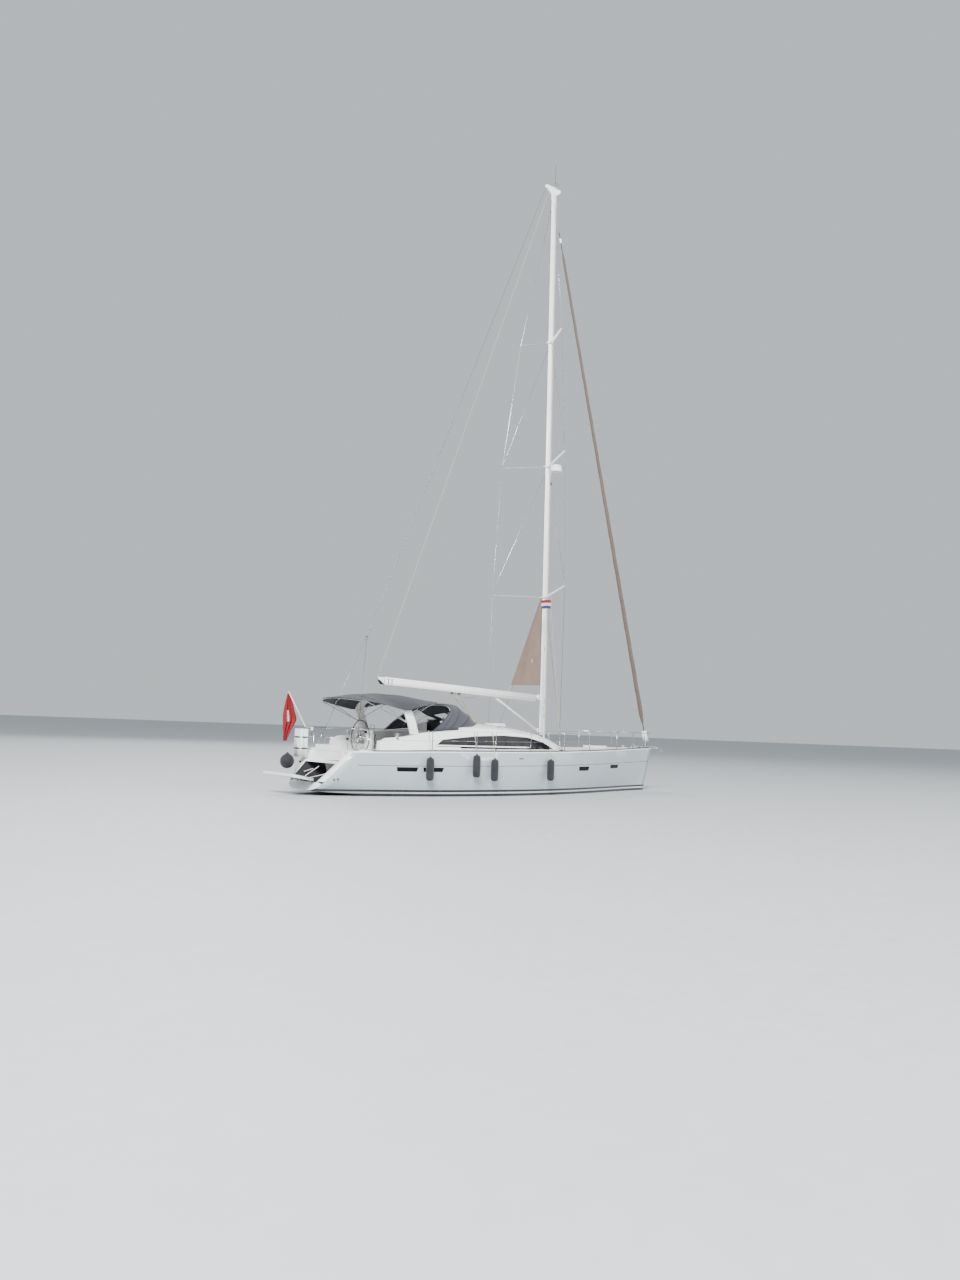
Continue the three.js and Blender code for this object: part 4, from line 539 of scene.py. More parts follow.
def sheet(
    across: int, along: int, place: Callable[[float, float], Vector], size: Pair
) -> Shape:
    """A grid of cloth laid by a function of two shares from 0 to 1, with its UV map in metres.

    Args:
        across: Cells across.
        along: Cells along.
        place: Gives a point from the two shares.
        size: Width and length of the flat cloth in metres.

    Returns:
        The grid's mesh.
    """
    made = bmesh.new()
    made.loops.layers.uv.new("UVMap")
    bmesh.ops.create_grid(made, x_segments=across, y_segments=along, size=0.5, calc_uvs=True)
    layer = made.loops.layers.uv.active
    for face in made.faces:
        for loop in face.loops:
            u, v = loop.vert.co.x + 0.5, loop.vert.co.y + 0.5
            loop[layer].uv = (u * size[0], v * size[1])
    for vert in made.verts:
        vert.co = place(vert.co.x + 0.5, vert.co.y + 0.5)
    return made


def plate(outline: Sequence[Pair], step: float = 0.0) -> Shape:
    """A flat face in X and Z from its outline, cut into a grid if a step is given.

    Args:
        outline: Corners in X and Z.
        step: Widest cell of the grid, or 0 for none.

    Returns:
        The plate's mesh.
    """
    made = bmesh.new()
    made.faces.new([made.verts.new((x, 0, z)) for x, z in outline])
    if step:
        for axis in (0, 2):
            low = min(v.co[axis] for v in made.verts)
            high = max(v.co[axis] for v in made.verts)
            for i in range(1, max(2, math.ceil((high - low) / step))):
                at, normal = Vector(), Vector()
                at[axis] = low + i * (high - low) / max(2, math.ceil((high - low) / step))
                normal[axis] = 1.0
                bmesh.ops.bisect_plane(
                    made, geom=made.verts[:] + made.edges[:] + made.faces[:], plane_co=at, plane_no=normal,
                    dist=1e-5)
    return made


def slab(outline: Sequence[Pair], thickness: float) -> Shape:
    """A flat block with that outline in X and Z, half of its thickness on each side of the centreline.

    Args:
        outline: Corners in X and Z.
        thickness: Its thickness in metres.

    Returns:
        The block's mesh.
    """
    made = plate(outline)
    bmesh.ops.translate(made, vec=(0, -thickness / 2, 0), verts=made.verts)
    return raised(made, (0, thickness, 0))


def raised(made: Shape, shift: Point) -> Shape:
    """The same plate grown into a block.

    Args:
        made: The plate.
        shift: How far and which way its other face lies.

    Returns:
        The block's mesh.
    """
    extruded = bmesh.ops.extrude_face_region(made, geom=made.faces[:])
    verts = [g for g in extruded["geom"] if isinstance(g, bmesh.types.BMVert)]
    bmesh.ops.translate(made, vec=shift, verts=verts)
    bmesh.ops.recalc_face_normals(made, faces=made.faces)
    return made


class Form:
    """A piece in the making: parts are added one by one, each with its own finish."""

    def __init__(self, name: str) -> None:
        """Starts an empty piece of that name.

        Args:
            name: The piece's name.
        """
        self.name = name
        self.mesh = bmesh.new()
        self.finishes: list[Finish] = []

    def add(self, part: Shape, finish: Finish, place: Matrix | None = None) -> "Form":
        """Adds a part in one finish, put in place first.

        Args:
            part: The part's mesh, which is used up.
            finish: Its finish.
            place: Where it goes, if not where it is.

        Returns:
            The piece, for another part.
        """
        if finish not in self.finishes:
            self.finishes.append(finish)
        index = self.finishes.index(finish)
        if place is not None:
            bmesh.ops.transform(part, matrix=place, verts=part.verts)
        for face in part.faces:
            face.material_index = index
        scratch = bpy.data.meshes.new("scratch")
        part.to_mesh(scratch)
        part.free()
        self.mesh.from_mesh(scratch)
        bpy.data.meshes.remove(scratch)
        return self

    def done(
        self, body: str | None = "yacht", replaces: Sequence[str] = (), slot: str = "", crease: float = 35.0,
        smooth: int = 0,
    ) -> bpy.types.Object:
        """Makes the piece and lets it ride on a body.

        Args:
            body: The CAD body that it moves with, or None where it blends between two.
            replaces: CAD nodes that it stands for.
            slot: The record's material slot; not used.
            crease: Edges sharper than this angle in degrees stay sharp.
            smooth: Levels of subdivision.

        Returns:
            The finished object.
        """
        data = bpy.data.meshes.new(self.name)
        self.mesh.to_mesh(data)
        self.mesh.free()
        return settle(data, self.name, self.finishes, body, replaces, crease, smooth)


def settle(
    data: bpy.types.Mesh, name: str, finishes: Sequence[Finish], body: str | None, replaces: Sequence[str],
    crease: float = 35.0, smooth: int = 0,
) -> bpy.types.Object:
    """Turns a mesh into a piece with its finishes, its body and what it stands for.

    Args:
        data: The mesh.
        name: The piece's name.
        finishes: Its finishes, in the order of the mesh's numbers.
        body: The CAD body that it moves with, or None.
        replaces: CAD nodes that it stands for.
        crease: Edges sharper than this angle in degrees stay sharp.
        smooth: Levels of subdivision.

    Returns:
        The finished object.
    """
    for finish in finishes:
        data.materials.append(finish.material())
    data.shade_smooth()
    data.set_sharp_from_angle(angle=math.radians(crease))
    piece = bpy.data.objects.new(name, data)
    bpy.context.scene.collection.objects.link(piece)
    if smooth:
        modifier = piece.modifiers.new("subdivision", "SUBSURF")
        modifier.levels = modifier.render_levels = smooth
    if body:
        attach(piece, body)
    if replaces:
        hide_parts(*replaces)
    LOG.info("%s: %d faces", name, len(data.polygons))
    return piece


def carried(
    node: str, name: str, finishes: Sequence[Finish], crease: float = 35.0,
    choose: Callable[[Vector, Vector], int] | None = None,
) -> bpy.types.Object:
    """A copy of a CAD node with its corners merged and its shading smoothed, to stand for it.

    Args:
        node: The CAD node.
        name: The piece's name.
        finishes: What it may be finished in.
        crease: Edges sharper than this angle in degrees stay sharp.
        choose: Picks a finish by number from a face's middle and normal.

    Returns:
        The piece.
    """
    source = frame["nodes"][node]
    made = bmesh.new()
    made.from_mesh(source.data)
    bmesh.ops.remove_doubles(made, verts=made.verts, dist=1e-5)
    for face in made.faces:
        face.material_index = choose(face.calc_center_median(), face.normal) if choose else 0
    data = bpy.data.meshes.new(name)
    made.to_mesh(data)
    made.free()
    return settle(data, name, finishes, source["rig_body"], (node,), crease)


class Surface:
    """A CAD node's skin, for laying other pieces on it."""

    def __init__(self, *nodes: str) -> None:
        """Reads the nodes' meshes."""
        self.trees: list[BVHTree] = []
        for node in nodes:
            mesh = bmesh.new()
            mesh.from_mesh(frame["nodes"][node].data)
            self.trees.append(BVHTree.FromBMesh(mesh))
            mesh.free()

    def side(self, x: float, z: float, side: float) -> float | None:
        """Y of the outermost surface on one side at X and Z, or None.

        Args:
            x: X of the point.
            z: Z of the point.
            side: 1 for port, -1 for starboard.

        Returns:
            The Y, or None where there is no surface.
        """
        start, way = Vector((x, side * 6.0, z)), Vector((0, -side, 0))
        hits = [t.ray_cast(start, way)[0] for t in self.trees]
        found = [h.y for h in hits if h is not None]
        return side * max(side * y for y in found) if found else None

    def top(self, x: float, y: float, start: float = 30.0) -> float | None:
        """Z of the highest surface at X and Y below a start height, or None.

        Args:
            x: X of the point.
            y: Y of the point.
            start: Height that the search starts from.

        Returns:
            The Z, or None where there is no surface.
        """
        hits = [t.ray_cast(Vector((x, y, start)), Vector((0, 0, -1)))[0] for t in self.trees]
        found = [h.z for h in hits if h is not None]
        return max(found) if found else None

    def laid(
        self, outline: Sequence[Pair], side: float, lift: float, thickness: float,
        step: float = 0.12,
    ) -> Shape:
        """A thin plate of that outline in X and Z, bent to the surface on one side.

        Args:
            outline: Corners in X and Z.
            side: 1 for port, -1 for starboard.
            lift: Its distance off the surface.
            thickness: Its thickness in metres.
            step: Widest cell of its grid.

        Returns:
            The plate's mesh.
        """
        made = plate(outline, step)
        for vert in made.verts:
            y = self.side(vert.co.x, vert.co.z, side)
            vert.co.y = (y if y is not None else 0.0) + side * lift
        bmesh.ops.recalc_face_normals(made, faces=made.faces)
        return raised(made, (0, side * thickness, 0))

    def laid_down(
        self, outline: Sequence[Pair], lift: float, thickness: float, step: float = 0.12
    ) -> Shape:
        """A thin plate of that outline in X and Y, bent to the surface below it.

        Args:
            outline: Corners in X and Y.
            lift: Its distance off the surface.
            thickness: Its thickness in metres.
            step: Widest cell of its grid.

        Returns:
            The plate's mesh.
        """
        made = plate(outline, step)
        for vert in made.verts:
            x, y = vert.co.x, vert.co.z
            z = self.top(x, y)
            vert.co = (x, y, (z if z is not None else 0.0) + lift)
        return raised(made, (0, 0, thickness))


def smooth_row(rows: Sequence[Sequence[float]], share: float) -> list[float]:
    """A row read between the rows of a table by smooth curves, from a share of its length.

    Args:
        rows: The table.
        share: How far along it, from 0 to 1.

    Returns:
        The numbers of the row.
    """
    last = len(rows) - 1
    place = min(max(share, 0.0), 1.0) * last
    i = min(int(place), last - 1)
    t = place - i
    a, b, c, d = (rows[min(max(k, 0), last)] for k in (i - 1, i, i + 1, i + 2))
    return [
        0.5 * (2 * q + (r - p) * t + (2 * p - 5 * q + 4 * r - s) * t * t + (3 * q - p - 3 * r + s) * t**3)
        for p, q, r, s in zip(a, b, c, d)
    ]


def arc(a: Point, b: Point, sag: float, steps: int = 10) -> list[Vector]:
    """Points of a line from a to b that hangs down by sag in its middle.

    Args:
        a: First end.
        b: Last end.
        sag: Its drop in the middle, in metres.
        steps: Parts of the line.

    Returns:
        The points.
    """
    start, end = Vector(a), Vector(b)
    return [
        start.lerp(end, t) - Vector((0, 0, 4 * sag * t * (1 - t)))
        for t in (i / steps for i in range(steps + 1))
    ]


MAST_RAKE = 0.011


def mast_point(z: float, x: float = 0.0, y: float = 0.0) -> Vector:
    """A point beside the raked mast's axis."""
    return Vector((x - (z - 2.0) * MAST_RAKE, y, z))


# Sub-assemblies


@dataclass(frozen=True)
class Eye:
    """The camera, at the photograph's viewing angle."""

    place: Point = (-23.462, -25.937, 2.058)
    yaw: float = 38.363
    pitch: float = 5.215
    roll: float = 2.102
    focal_share: float = 985 / 1280  # focal length over the image's longer side
    sensor_mm: float = 36.0

    def build(self) -> bpy.types.Object:
        """Makes the scene's camera."""
        yaw, pitch, roll = (math.radians(a) for a in (self.yaw, self.pitch, self.roll))
        ahead = Vector((math.sin(yaw), math.cos(yaw), 0))
        right = Vector((math.cos(yaw), -math.sin(yaw), 0))
        up = Vector((0, 0, 1))
        sight = ahead * math.cos(pitch) + up * math.sin(pitch)
        upright = up * math.cos(pitch) - ahead * math.sin(pitch)
        image_x = right * math.cos(roll) + upright * math.sin(roll)
        image_y = upright * math.cos(roll) - right * math.sin(roll)
        data = bpy.data.cameras.new("eye")
        data.sensor_width = self.sensor_mm
        data.lens = self.focal_share * self.sensor_mm
        data.clip_end = 2000.0
        eye = bpy.data.objects.new("eye", data)
        turn = Matrix((image_x, image_y, -sight)).transposed().to_4x4()
        eye.matrix_world = Matrix.Translation(self.place) @ turn
        bpy.context.scene.collection.objects.link(eye)
        bpy.context.scene.camera = eye
        return eye


@dataclass(frozen=True)
class Studio:
    """A plain pale floor at the waterline, a pale surround and soft lights."""

    floor_size: float = 900.0
    # Each lamp's name, place, power in watts and width
    lamps: tuple[tuple[str, Point, float, float], ...] = (
        ("key", (-45.0, -42.0, 42.0), 120000.0, 24.0), ("fill", (38.0, -50.0, 24.0), 24000.0, 30.0),
        ("back", (10.0, 55.0, 40.0), 20000.0, 30.0),
    )
    aim: Point = (-2.0, 0.0, 5.0)
    sky: str = "#d5dbe0"
    sky_strength: float = 0.95

    def lamp(self, name: str, place: Point, power: float, size: float) -> None:
        """Adds one soft light aimed at the boat.

        Args:
            name: Its name.
            place: Where it hangs.
            power: Its power in watts.
            size: Its width in metres.
        """
        data = bpy.data.lights.new(name, "AREA")
        data.energy = power
        data.size = size
        lamp = bpy.data.objects.new(name, data)
        sight = Vector(self.aim) - Vector(place)
        lamp.matrix_world = Matrix.Translation(place) @ sight.to_track_quat("-Z", "Y").to_matrix().to_4x4()
        bpy.context.scene.collection.objects.link(lamp)

    def build(self) -> None:
        """Makes the floor, the surround and the lights."""
        ground = bmesh.new()
        bmesh.ops.create_grid(ground, x_segments=8, y_segments=8, size=self.floor_size)
        data = bpy.data.meshes.new("floor")
        ground.to_mesh(data)
        ground.free()
        data.materials.append(STUDIO_FLOOR.material())
        floor = bpy.data.objects.new("floor", data)
        bpy.context.scene.collection.objects.link(floor)
        world = bpy.data.worlds.new("surround")
        world.use_nodes = True
        surround = world.node_tree.nodes["Background"]
        surround.inputs["Color"].default_value = linear(self.sky)
        surround.inputs["Strength"].default_value = self.sky_strength
        bpy.context.scene.world = world
        for name, place, power, size in self.lamps:
            self.lamp(name, place, power, size)


# Deck edge from stern to stem: X, height and half-breadth
DECK_EDGE = (
    (-7.9, 1.285, 1.5), (-7.0, 1.305, 1.72), (-6.0, 1.33, 1.9), (-4.8, 1.345, 2.01), (-3.6, 1.36, 2.06),
    (-2.3, 1.375, 2.06), (-1.0, 1.395, 1.94), (0.3, 1.425, 1.73), (1.6, 1.455, 1.43), (2.8, 1.49, 1.06),
    (3.9, 1.52, 0.7), (4.9, 1.545, 0.32), (5.5, 1.557, 0.1),
)


@dataclass(frozen=True)
class Hull:
    """Hull with its side lights, vents, outlets and toe rails."""

    lights: tuple[tuple[float, float, float, float], ...] = (
        (-7.16, -6.49, 0.755, 0.885), (-6.33, -5.64, 0.755, 0.885), (0.25, 0.87, 0.80, 0.94),
        (2.33, 2.95, 0.865, 0.99),
    )
    light_slant: float = 0.03
    # X, height and radius of each skin fitting
    vents: tuple[tuple[float, float, float], ...] = (
        (-2.76, 1.2, 0.034), (-2.66, 1.2, 0.034), (-8.95, 0.5, 0.04), (-8.84, 0.51, 0.04),
    )
    rail_inset: float = 0.03
    well_half: float = 0.965
    well_fore: float = -4.70
    well_floor: float = 0.395
    saloon_half: float = 1.125
    saloon: Pair = (-4.61, -0.99)
    saloon_floor: float = 0.24
    transom_fore: float = -8.4
    transom_foot: float = 0.21
    locker: tuple[float, float, float, float] = (-9.7, -8.15, 0.38, 0.94)
    locker_half: float = 0.9

    def lining(self, middle: Vector, normal: Vector) -> int:
        """0 for the painted outside, 1 for the white mouldings and 2 for the locker's inside, which is black
        as painted shade.

        Args:
            middle: The face's middle.
            normal: The face's normal.

        Returns:
            The finish's number.
        """
        x, y, z = middle
        aft, fore, low, high = self.locker
        # Painted shade: the locker's inside walls take the black rubber finish.
        if aft < x < fore and low < z < high and abs(y) < self.locker_half and normal.x > -0.9:
            return 2
        in_well = abs(y) < self.well_half and x < self.well_fore and z > self.well_floor
        back, front = self.saloon
        in_saloon = abs(y) < self.saloon_half and back < x < front and z > self.saloon_floor
        at_transom = x < self.transom_fore and normal.x < -0.35 and z > self.transom_foot
        return 1 if in_well or in_saloon or at_transom else 0

    def side_lights(self) -> bpy.types.Object:
        """Dark fixed panes set flush in the topsides."""
        skin = Surface("hull")
        form = Form("hull_side_lights")
        slant = self.light_slant
        for aft, fore, low, high in self.lights:
            outline = [(aft + slant, low), (fore - slant, low), (fore, high), (aft, high)]
            for _, side in SIDES:
                form.add(skin.laid(outline, side, -0.004, 0.008), GLAZING)
        return form.done(slot="tinted_glazing")

    def through_hulls(self) -> bpy.types.Object:
        """Round skin fittings, each mouth filled with a black disc as painted shade."""
        skin = Surface("hull")
        form = Form("skin_fittings")
        for x, z, radius in self.vents:
            for _, side in SIDES:
                y = skin.side(x, z, side)
                bore = radius * 0.8
                ring = turned(
                    [(bore, -0.004), (radius, -0.004), (radius, 0.006), (bore, 0.008), (bore, -0.004)], 20)
                # Painted shade: a black disc fills the bore.
                mouth = turned([(0, -0.003), (bore + 0.001, -0.003), (bore + 0.001, 0.003), (0, 0.003)], 16)
                turn = Matrix.Translation((x, y, z)) @ Matrix.Rotation(-side * math.pi / 2, 4, "X")
                form.add(ring, STEEL, turn).add(mouth, RUBBER, turn)
        return form.done(slot="stainless_steel")

    def toe_rails(self) -> bpy.types.Object:
        """A low extruded rail along each deck edge."""
        deck = Surface("deck")
        form = Form("toe_rails")
        for _, side in SIDES:
            path = []
            for i in range(73):
                x, z, half = smooth_row(DECK_EDGE, i / 72)
                y = side * (half - self.rail_inset)
                path.append((x, y, (deck.top(x, y) or z + 0.035) + 0.014))
            form.add(rod(path, 0.017, sides=8, flat=1.15), DARK_ALLOY)
        return form.done(slot="painted_alloy")

    def build(self) -> None:
        """Builds and dresses the hull."""
        carried("hull", "hull_shell", (TOPSIDES, GELCOAT, RUBBER), 40, self.lining)
        self.side_lights()
        self.through_hulls()
        self.toe_rails()


@dataclass(frozen=True)
class Deck:
    """Deck moulding with cleats, windlass and chain locker lid."""

    cleats: tuple[Point, ...] = (
        (4.55, 0.33, 1.603), (4.55, -0.33, 1.603), (-8.13, 1.33, 1.349), (-8.13, -1.33, 1.349),
    )
    lid: tuple[float, float, float] = (3.35, 4.3, 0.3)  # aft, fore, half-width
    windlass_x: float = 4.72
    chain_end: Point = (5.5, 0.0, 1.66)

    def moulding(self, middle: Vector, normal: Vector) -> int:
        """1 for the treads, 0 for the smooth margins."""
        return 1 if normal.z > 0.985 and middle.x > -7.95 else 0

    def cleat(self, form: Form, place: Point) -> None:
        """A horn cleat on two feet.

        Args:
            form: The piece that it is added to.
            place: The middle of its foot.
        """
        x, y, z = place
        for way in (-1, 1):
            foot = [
                (x + way * 0.05, y, z - 0.002), (x + way * 0.045, y, z + 0.02),
                (x + way * 0.04, y, z + 0.046)]
            form.add(rod(foot, [0.02, 0.012, 0.012], 12), STEEL)
        reach = (-0.14, -0.11, -0.06, 0.0, 0.06, 0.11, 0.14)
        rise = (0.062, 0.057, 0.051, 0.048, 0.051, 0.057, 0.062)
        girth = (0.005, 0.01, 0.013, 0.014, 0.013, 0.01, 0.005)
        form.add(rod([(x + r, y, z + h) for r, h in zip(reach, rise)], girth, 12), STEEL)

    def chain(self, start: Vector, end: Vector) -> Form:
        """Anchor chain: links turned a quarter from one to the next.

        Args:
            start: First end.
            end: Last end.

        Returns:
            The chain, not yet done.
        """
        form = Form("anchor_chain")
        way = (end - start).normalized()
        count = int((end - start).length / 0.031)
        base = Vector((1, 0, 0)).rotation_difference(way).to_matrix().to_4x4()
        loop = []
        for degrees in (-75, -25, 25, 75, 105, 155, 205, 255):
            a = math.radians(degrees)
            shift = 0.012 if abs(degrees) < 90 else -0.012
            loop.append((shift + 0.011 * math.cos(a), 0.011 * math.sin(a), 0))
        for i in range(count):
            turn = Matrix.Rotation(math.pi / 4 + i * math.pi / 2, 4, "X")
            place = Matrix.Translation(start.lerp(end, (i + 0.5) / count)) @ base @ turn
            form.add(rod(loop, 0.0045, 6, closed=True), STEEL, place)
        return form

    def build(self) -> None:
        """Builds and dresses the deck and what stands on it."""
        carried("deck", "deck_moulding", (GELCOAT, NONSKID), 30, self.moulding)
        cleats = Form("deck_cleats")
        for place in self.cleats:
            self.cleat(cleats, place)
        cleats.done(slot="stainless_steel")
        skin = Surface("deck")
        aft, fore, half = self.lid
        lid = Form("chain_locker_lid")
        outline = [(aft, -half), (fore, -half * 0.75), (fore, half * 0.75), (aft, half)]
        lid.add(skin.laid_down(outline, 0.001, 0.009), NONSKID)
        for x in (aft + 0.12, fore - 0.12):
            z = skin.top(x, 0)
            lid.add(box((x - 0.03, -0.02, z + 0.008), (x + 0.03, 0.02, z + 0.016), 0.004), STEEL)
        lid.done(slot="gelcoat_white")
        z = skin.top(self.windlass_x, 0)
        windlass = Form("windlass")
        windlass.add(turned([
            (0, -0.004), (0.105, -0.004), (0.11, 0.006), (0.1, 0.018), (0.062, 0.026), (0.05, 0.045),
            (0.036, 0.055), (0.036, 0.066), (0.052, 0.074), (0.05, 0.09), (0.044, 0.13), (0.052, 0.15),
            (0.05, 0.162), (0, 0.17),
        ], 32), STEEL, Matrix.Translation((self.windlass_x, 0, z)))
        windlass.done(slot="stainless_steel")
        start = Vector((self.windlass_x + 0.05, 0, z + 0.058))
        self.chain(start, Vector(self.chain_end)).done(slot="stainless_steel")
        carried("bow_roller", "bow_roller_cheeks", (STEEL,), 30)
        carried("anchor", "anchor_forging", (STEEL,), 25)


@dataclass(frozen=True)
class Coachroof:
    """Coachroof with side panes, hatches, lines led aft and the companionway."""

    # Outlines in X and Z of the white finger, the lower dark strip, which is a dark band and partly painted
    # shade along the deck's edge, and the dark pane
    finger: tuple[Pair, ...] = (
        (-5.62, 1.52), (-1.95, 1.52), (-1.72, 1.538), (-1.95, 1.56), (-5.69, 1.56),
    )
    strip: tuple[Pair, ...] = (
        (-4.65, 1.463), (-2.9, 1.469), (-1.8, 1.478), (-1.2, 1.49), (-1.72, 1.52), (-4.80, 1.52),
    )
    glass: tuple[Pair, ...] = (
        (-5.62, 1.55), (-5.38, 1.72), (-4.1, 1.855), (-2.91, 1.907), (-1.83, 1.868), (-1.1, 1.72),
        (-0.56, 1.503), (-1.0, 1.498), (-1.6, 1.495), (-1.8, 1.545),
    )
    line_ys: tuple[float, ...] = (0.5, 0.545, 0.59, 0.635)
    line_fore: float = -0.55
    line_lift: float = 0.014
    line_radius: float = 0.0055
    clutch_x: float = -3.62
    winch: Pair = (-3.86, 0.68)
    rail_ends: Pair = (-2.95, -1.35)
    rail_height: float = 0.055
    handle: tuple[Point, ...] = (
        (-4.66, -0.09, 2.34), (-4.66, -0.08, 2.365), (-4.66, 0.08, 2.365), (-4.66, 0.09, 2.34),
    )
    roof_lights: tuple[tuple[float, float, float], ...] = ((-1.15, -0.72, 0.29), (-1.15, -0.72, -0.29))

    def moulding(self, middle: Vector, normal: Vector) -> int:
        """1 for the treads on top, 0 for the smooth sides."""
        on_top = -4.0 < middle.x < 0.2 and abs(middle.y) < 1.12 and middle.z > 1.6
        return 1 if normal.z > 0.97 and on_top else 0

    def hatch_pane(self, body: str, name: str, node: str) -> None:
        """A hatch lid: its alloy frame, and a tinted pane with two handles let into it.

        Args:
            body: The body that it lifts with.
            name: What its pieces are called.
            node: The lid's CAD node.
        """
        low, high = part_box(node)
        carried(node, f"{name}_frame", (ALLOY,), 30)
        middle_x = (low.x + high.x) / 2 - 0.01
        half_x, half_y = (high.x - low.x) / 2 - 0.055, (high.y - low.y) / 2 - 0.05
        top = Surface(node).top(middle_x, 0.0)
        pane = Form(f"{name}_pane")
        pane.add(
            box((middle_x - half_x, -half_y, top - 0.004), (middle_x + half_x, half_y, top + 0.004), 0.003),
            GLAZING)
        for side in (-1, 1):
            y = side * half_y * 0.55
            handle = turned([(0, 0.003), (0.022, 0.003), (0.022, 0.007), (0.014, 0.01), (0, 0.01)], 16)
            pane.add(handle, DARK_ALLOY, Matrix.Translation((middle_x - half_x * 0.75, y, top)))
        pane.done(body, slot="tinted_glazing")

    def lines(self, roof: Surface) -> None:
        """Halyards and reefing lines from the mast's foot over the roof to their clutches.

        Args:
            roof: The roof's skin.
        """
        form = Form("lines_led_aft")
        shades = (ROPE, BLUE_ROPE, ROPE, RED_ROPE)
        for _, side in SIDES:
            for i, (offset, shade) in enumerate(zip(self.line_ys, shades)):
                path = []
                for k in range(25):
                    x = self.line_fore + (self.clutch_x - self.line_fore) * k / 24
                    y = side * offset
                    path.append((x, y, roof.top(x, y) + self.line_lift))
                lead = (-0.2, side * (0.1 + 0.02 * i), roof.top(-0.3, side * 0.12) + 0.05)
                form.add(rod([lead] + path, self.line_radius, 8), shade)
        form.done(slot="sun_strip_cloth")
        gear = Form("line_organisers_and_clutches")
        for _, side in SIDES:
            middle = side * sum(self.line_ys) / len(self.line_ys)
            z = roof.top(-0.58, middle)
            gear.add(
                box((-0.64, middle - 0.1, z - 0.012), (-0.52, middle + 0.1, z + 0.026), 0.008), DARK_ALLOY)
            x = self.clutch_x
            for offset in self.line_ys:
                y = side * offset
                z = roof.top(x, y)
                gear.add(
                    box((x - 0.12, y - 0.019, z - 0.01), (x + 0.05, y + 0.019, z + 0.055), 0.008), RUBBER)
                gear.add(box((x - 0.115, y - 0.012, z + 0.05), (x + 0.0, y + 0.012, z + 0.068), 0.005), ALLOY)
            wx, wy = self.winch[0], side * self.winch[1]
            gear.add(turned(WINCH_PROFILE, 32), STEEL, Matrix.Translation((wx, wy, roof.top(wx, wy) - 0.002)))
        gear.done(slot="painted_alloy")

    def grab_rails(self, roof: Surface) -> None:
        """Low stainless handrails along the roof.

        Args:
            roof: The roof's skin.
        """
        form = Form("roof_grab_rails")
        for _, side in SIDES:
            aft, fore = self.rail_ends
            path = []
            for k in range(31):
                share = k / 30
                x = aft + (fore - aft) * share
                y = side * (1.08 - 0.06 * share)
                lift = self.rail_height * min(1.0, share * 12, (1 - share) * 12)
                path.append((x, y, roof.top(x, y) + lift - 0.004))
            form.add(rod(path, 0.0125, 10), STEEL)
            for share in (1 / 3, 2 / 3):
                x, y, z = path[round(share * 30)]
                form.add(rod([(x, y, z), (x, y, z - 0.058)], 0.0105, 10), STEEL)
        form.done(slot="stainless_steel")

    def build(self) -> None:
        """Builds and dresses the coachroof."""
        carried("deckhouse", "coachroof_moulding", (GELCOAT, NONSKID), 32, self.moulding)
        for name, side in SIDES:
            carried(f"side_window_{name}", f"side_pane_{name}", (GLAZING,), 30)
            skin = Surface("deckhouse", "cockpit", f"side_window_{name}")
            trim = Form(f"side_moulding_{name}")
            trim.add(skin.laid(self.finger, side, 0.0, 0.012, 0.25), GELCOAT)
            # The lower dark strip, in the glazing's finish, is a dark band and partly painted shade along the
            # deck's edge.
            trim.add(skin.laid(self.strip, side, 0.0, 0.006, 0.25), GLAZING)
            trim.add(skin.laid(self.glass, side, -0.001, 0.006, 0.15), GLAZING)
            trim.done(slot="gelcoat_white")
        roof = Surface("deckhouse")
        lights = Form("roof_lights")
        for aft, fore, y in self.roof_lights:
            outline = [(aft, y - 0.2), (fore, y - 0.18), (fore, y + 0.18), (aft, y + 0.2)]
            lights.add(roof.laid_down(outline, -0.003, 0.007), GLAZING)
        lights.done(slot="tinted_glazing")
        self.lines(roof)
        self.grab_rails(roof)
        self.hatch_pane("foredeck_hatch", "foredeck_hatch_lid", "foredeck_hatch")
        self.hatch_pane("saloon_hatch", "saloon_hatch_lid", "saloon_hatch")
        carried("companionway_hatch", "companionway_slide", (GLAZING,), 25)
        handle = Form("companionway_handle")
        handle.add(rod(self.handle, 0.007, 10), STEEL)
        handle.done("companionway_hatch", slot="stainless_steel")
        carried("washboard", "washboard_panel", (GLAZING,), 25)


# Half section of a self-tailing winch: radius and height
WINCH_PROFILE = (
    (0, 0), (0.07, 0), (0.07, 0.014), (0.062, 0.022), (0.05, 0.03), (0.045, 0.06), (0.047, 0.1),
    (0.054, 0.122), (0.063, 0.13), (0.063, 0.138), (0.052, 0.145), (0.052, 0.15), (0.064, 0.158),
    (0.064, 0.167), (0.055, 0.175), (0.03, 0.182), (0.028, 0.176), (0, 0.176),
)


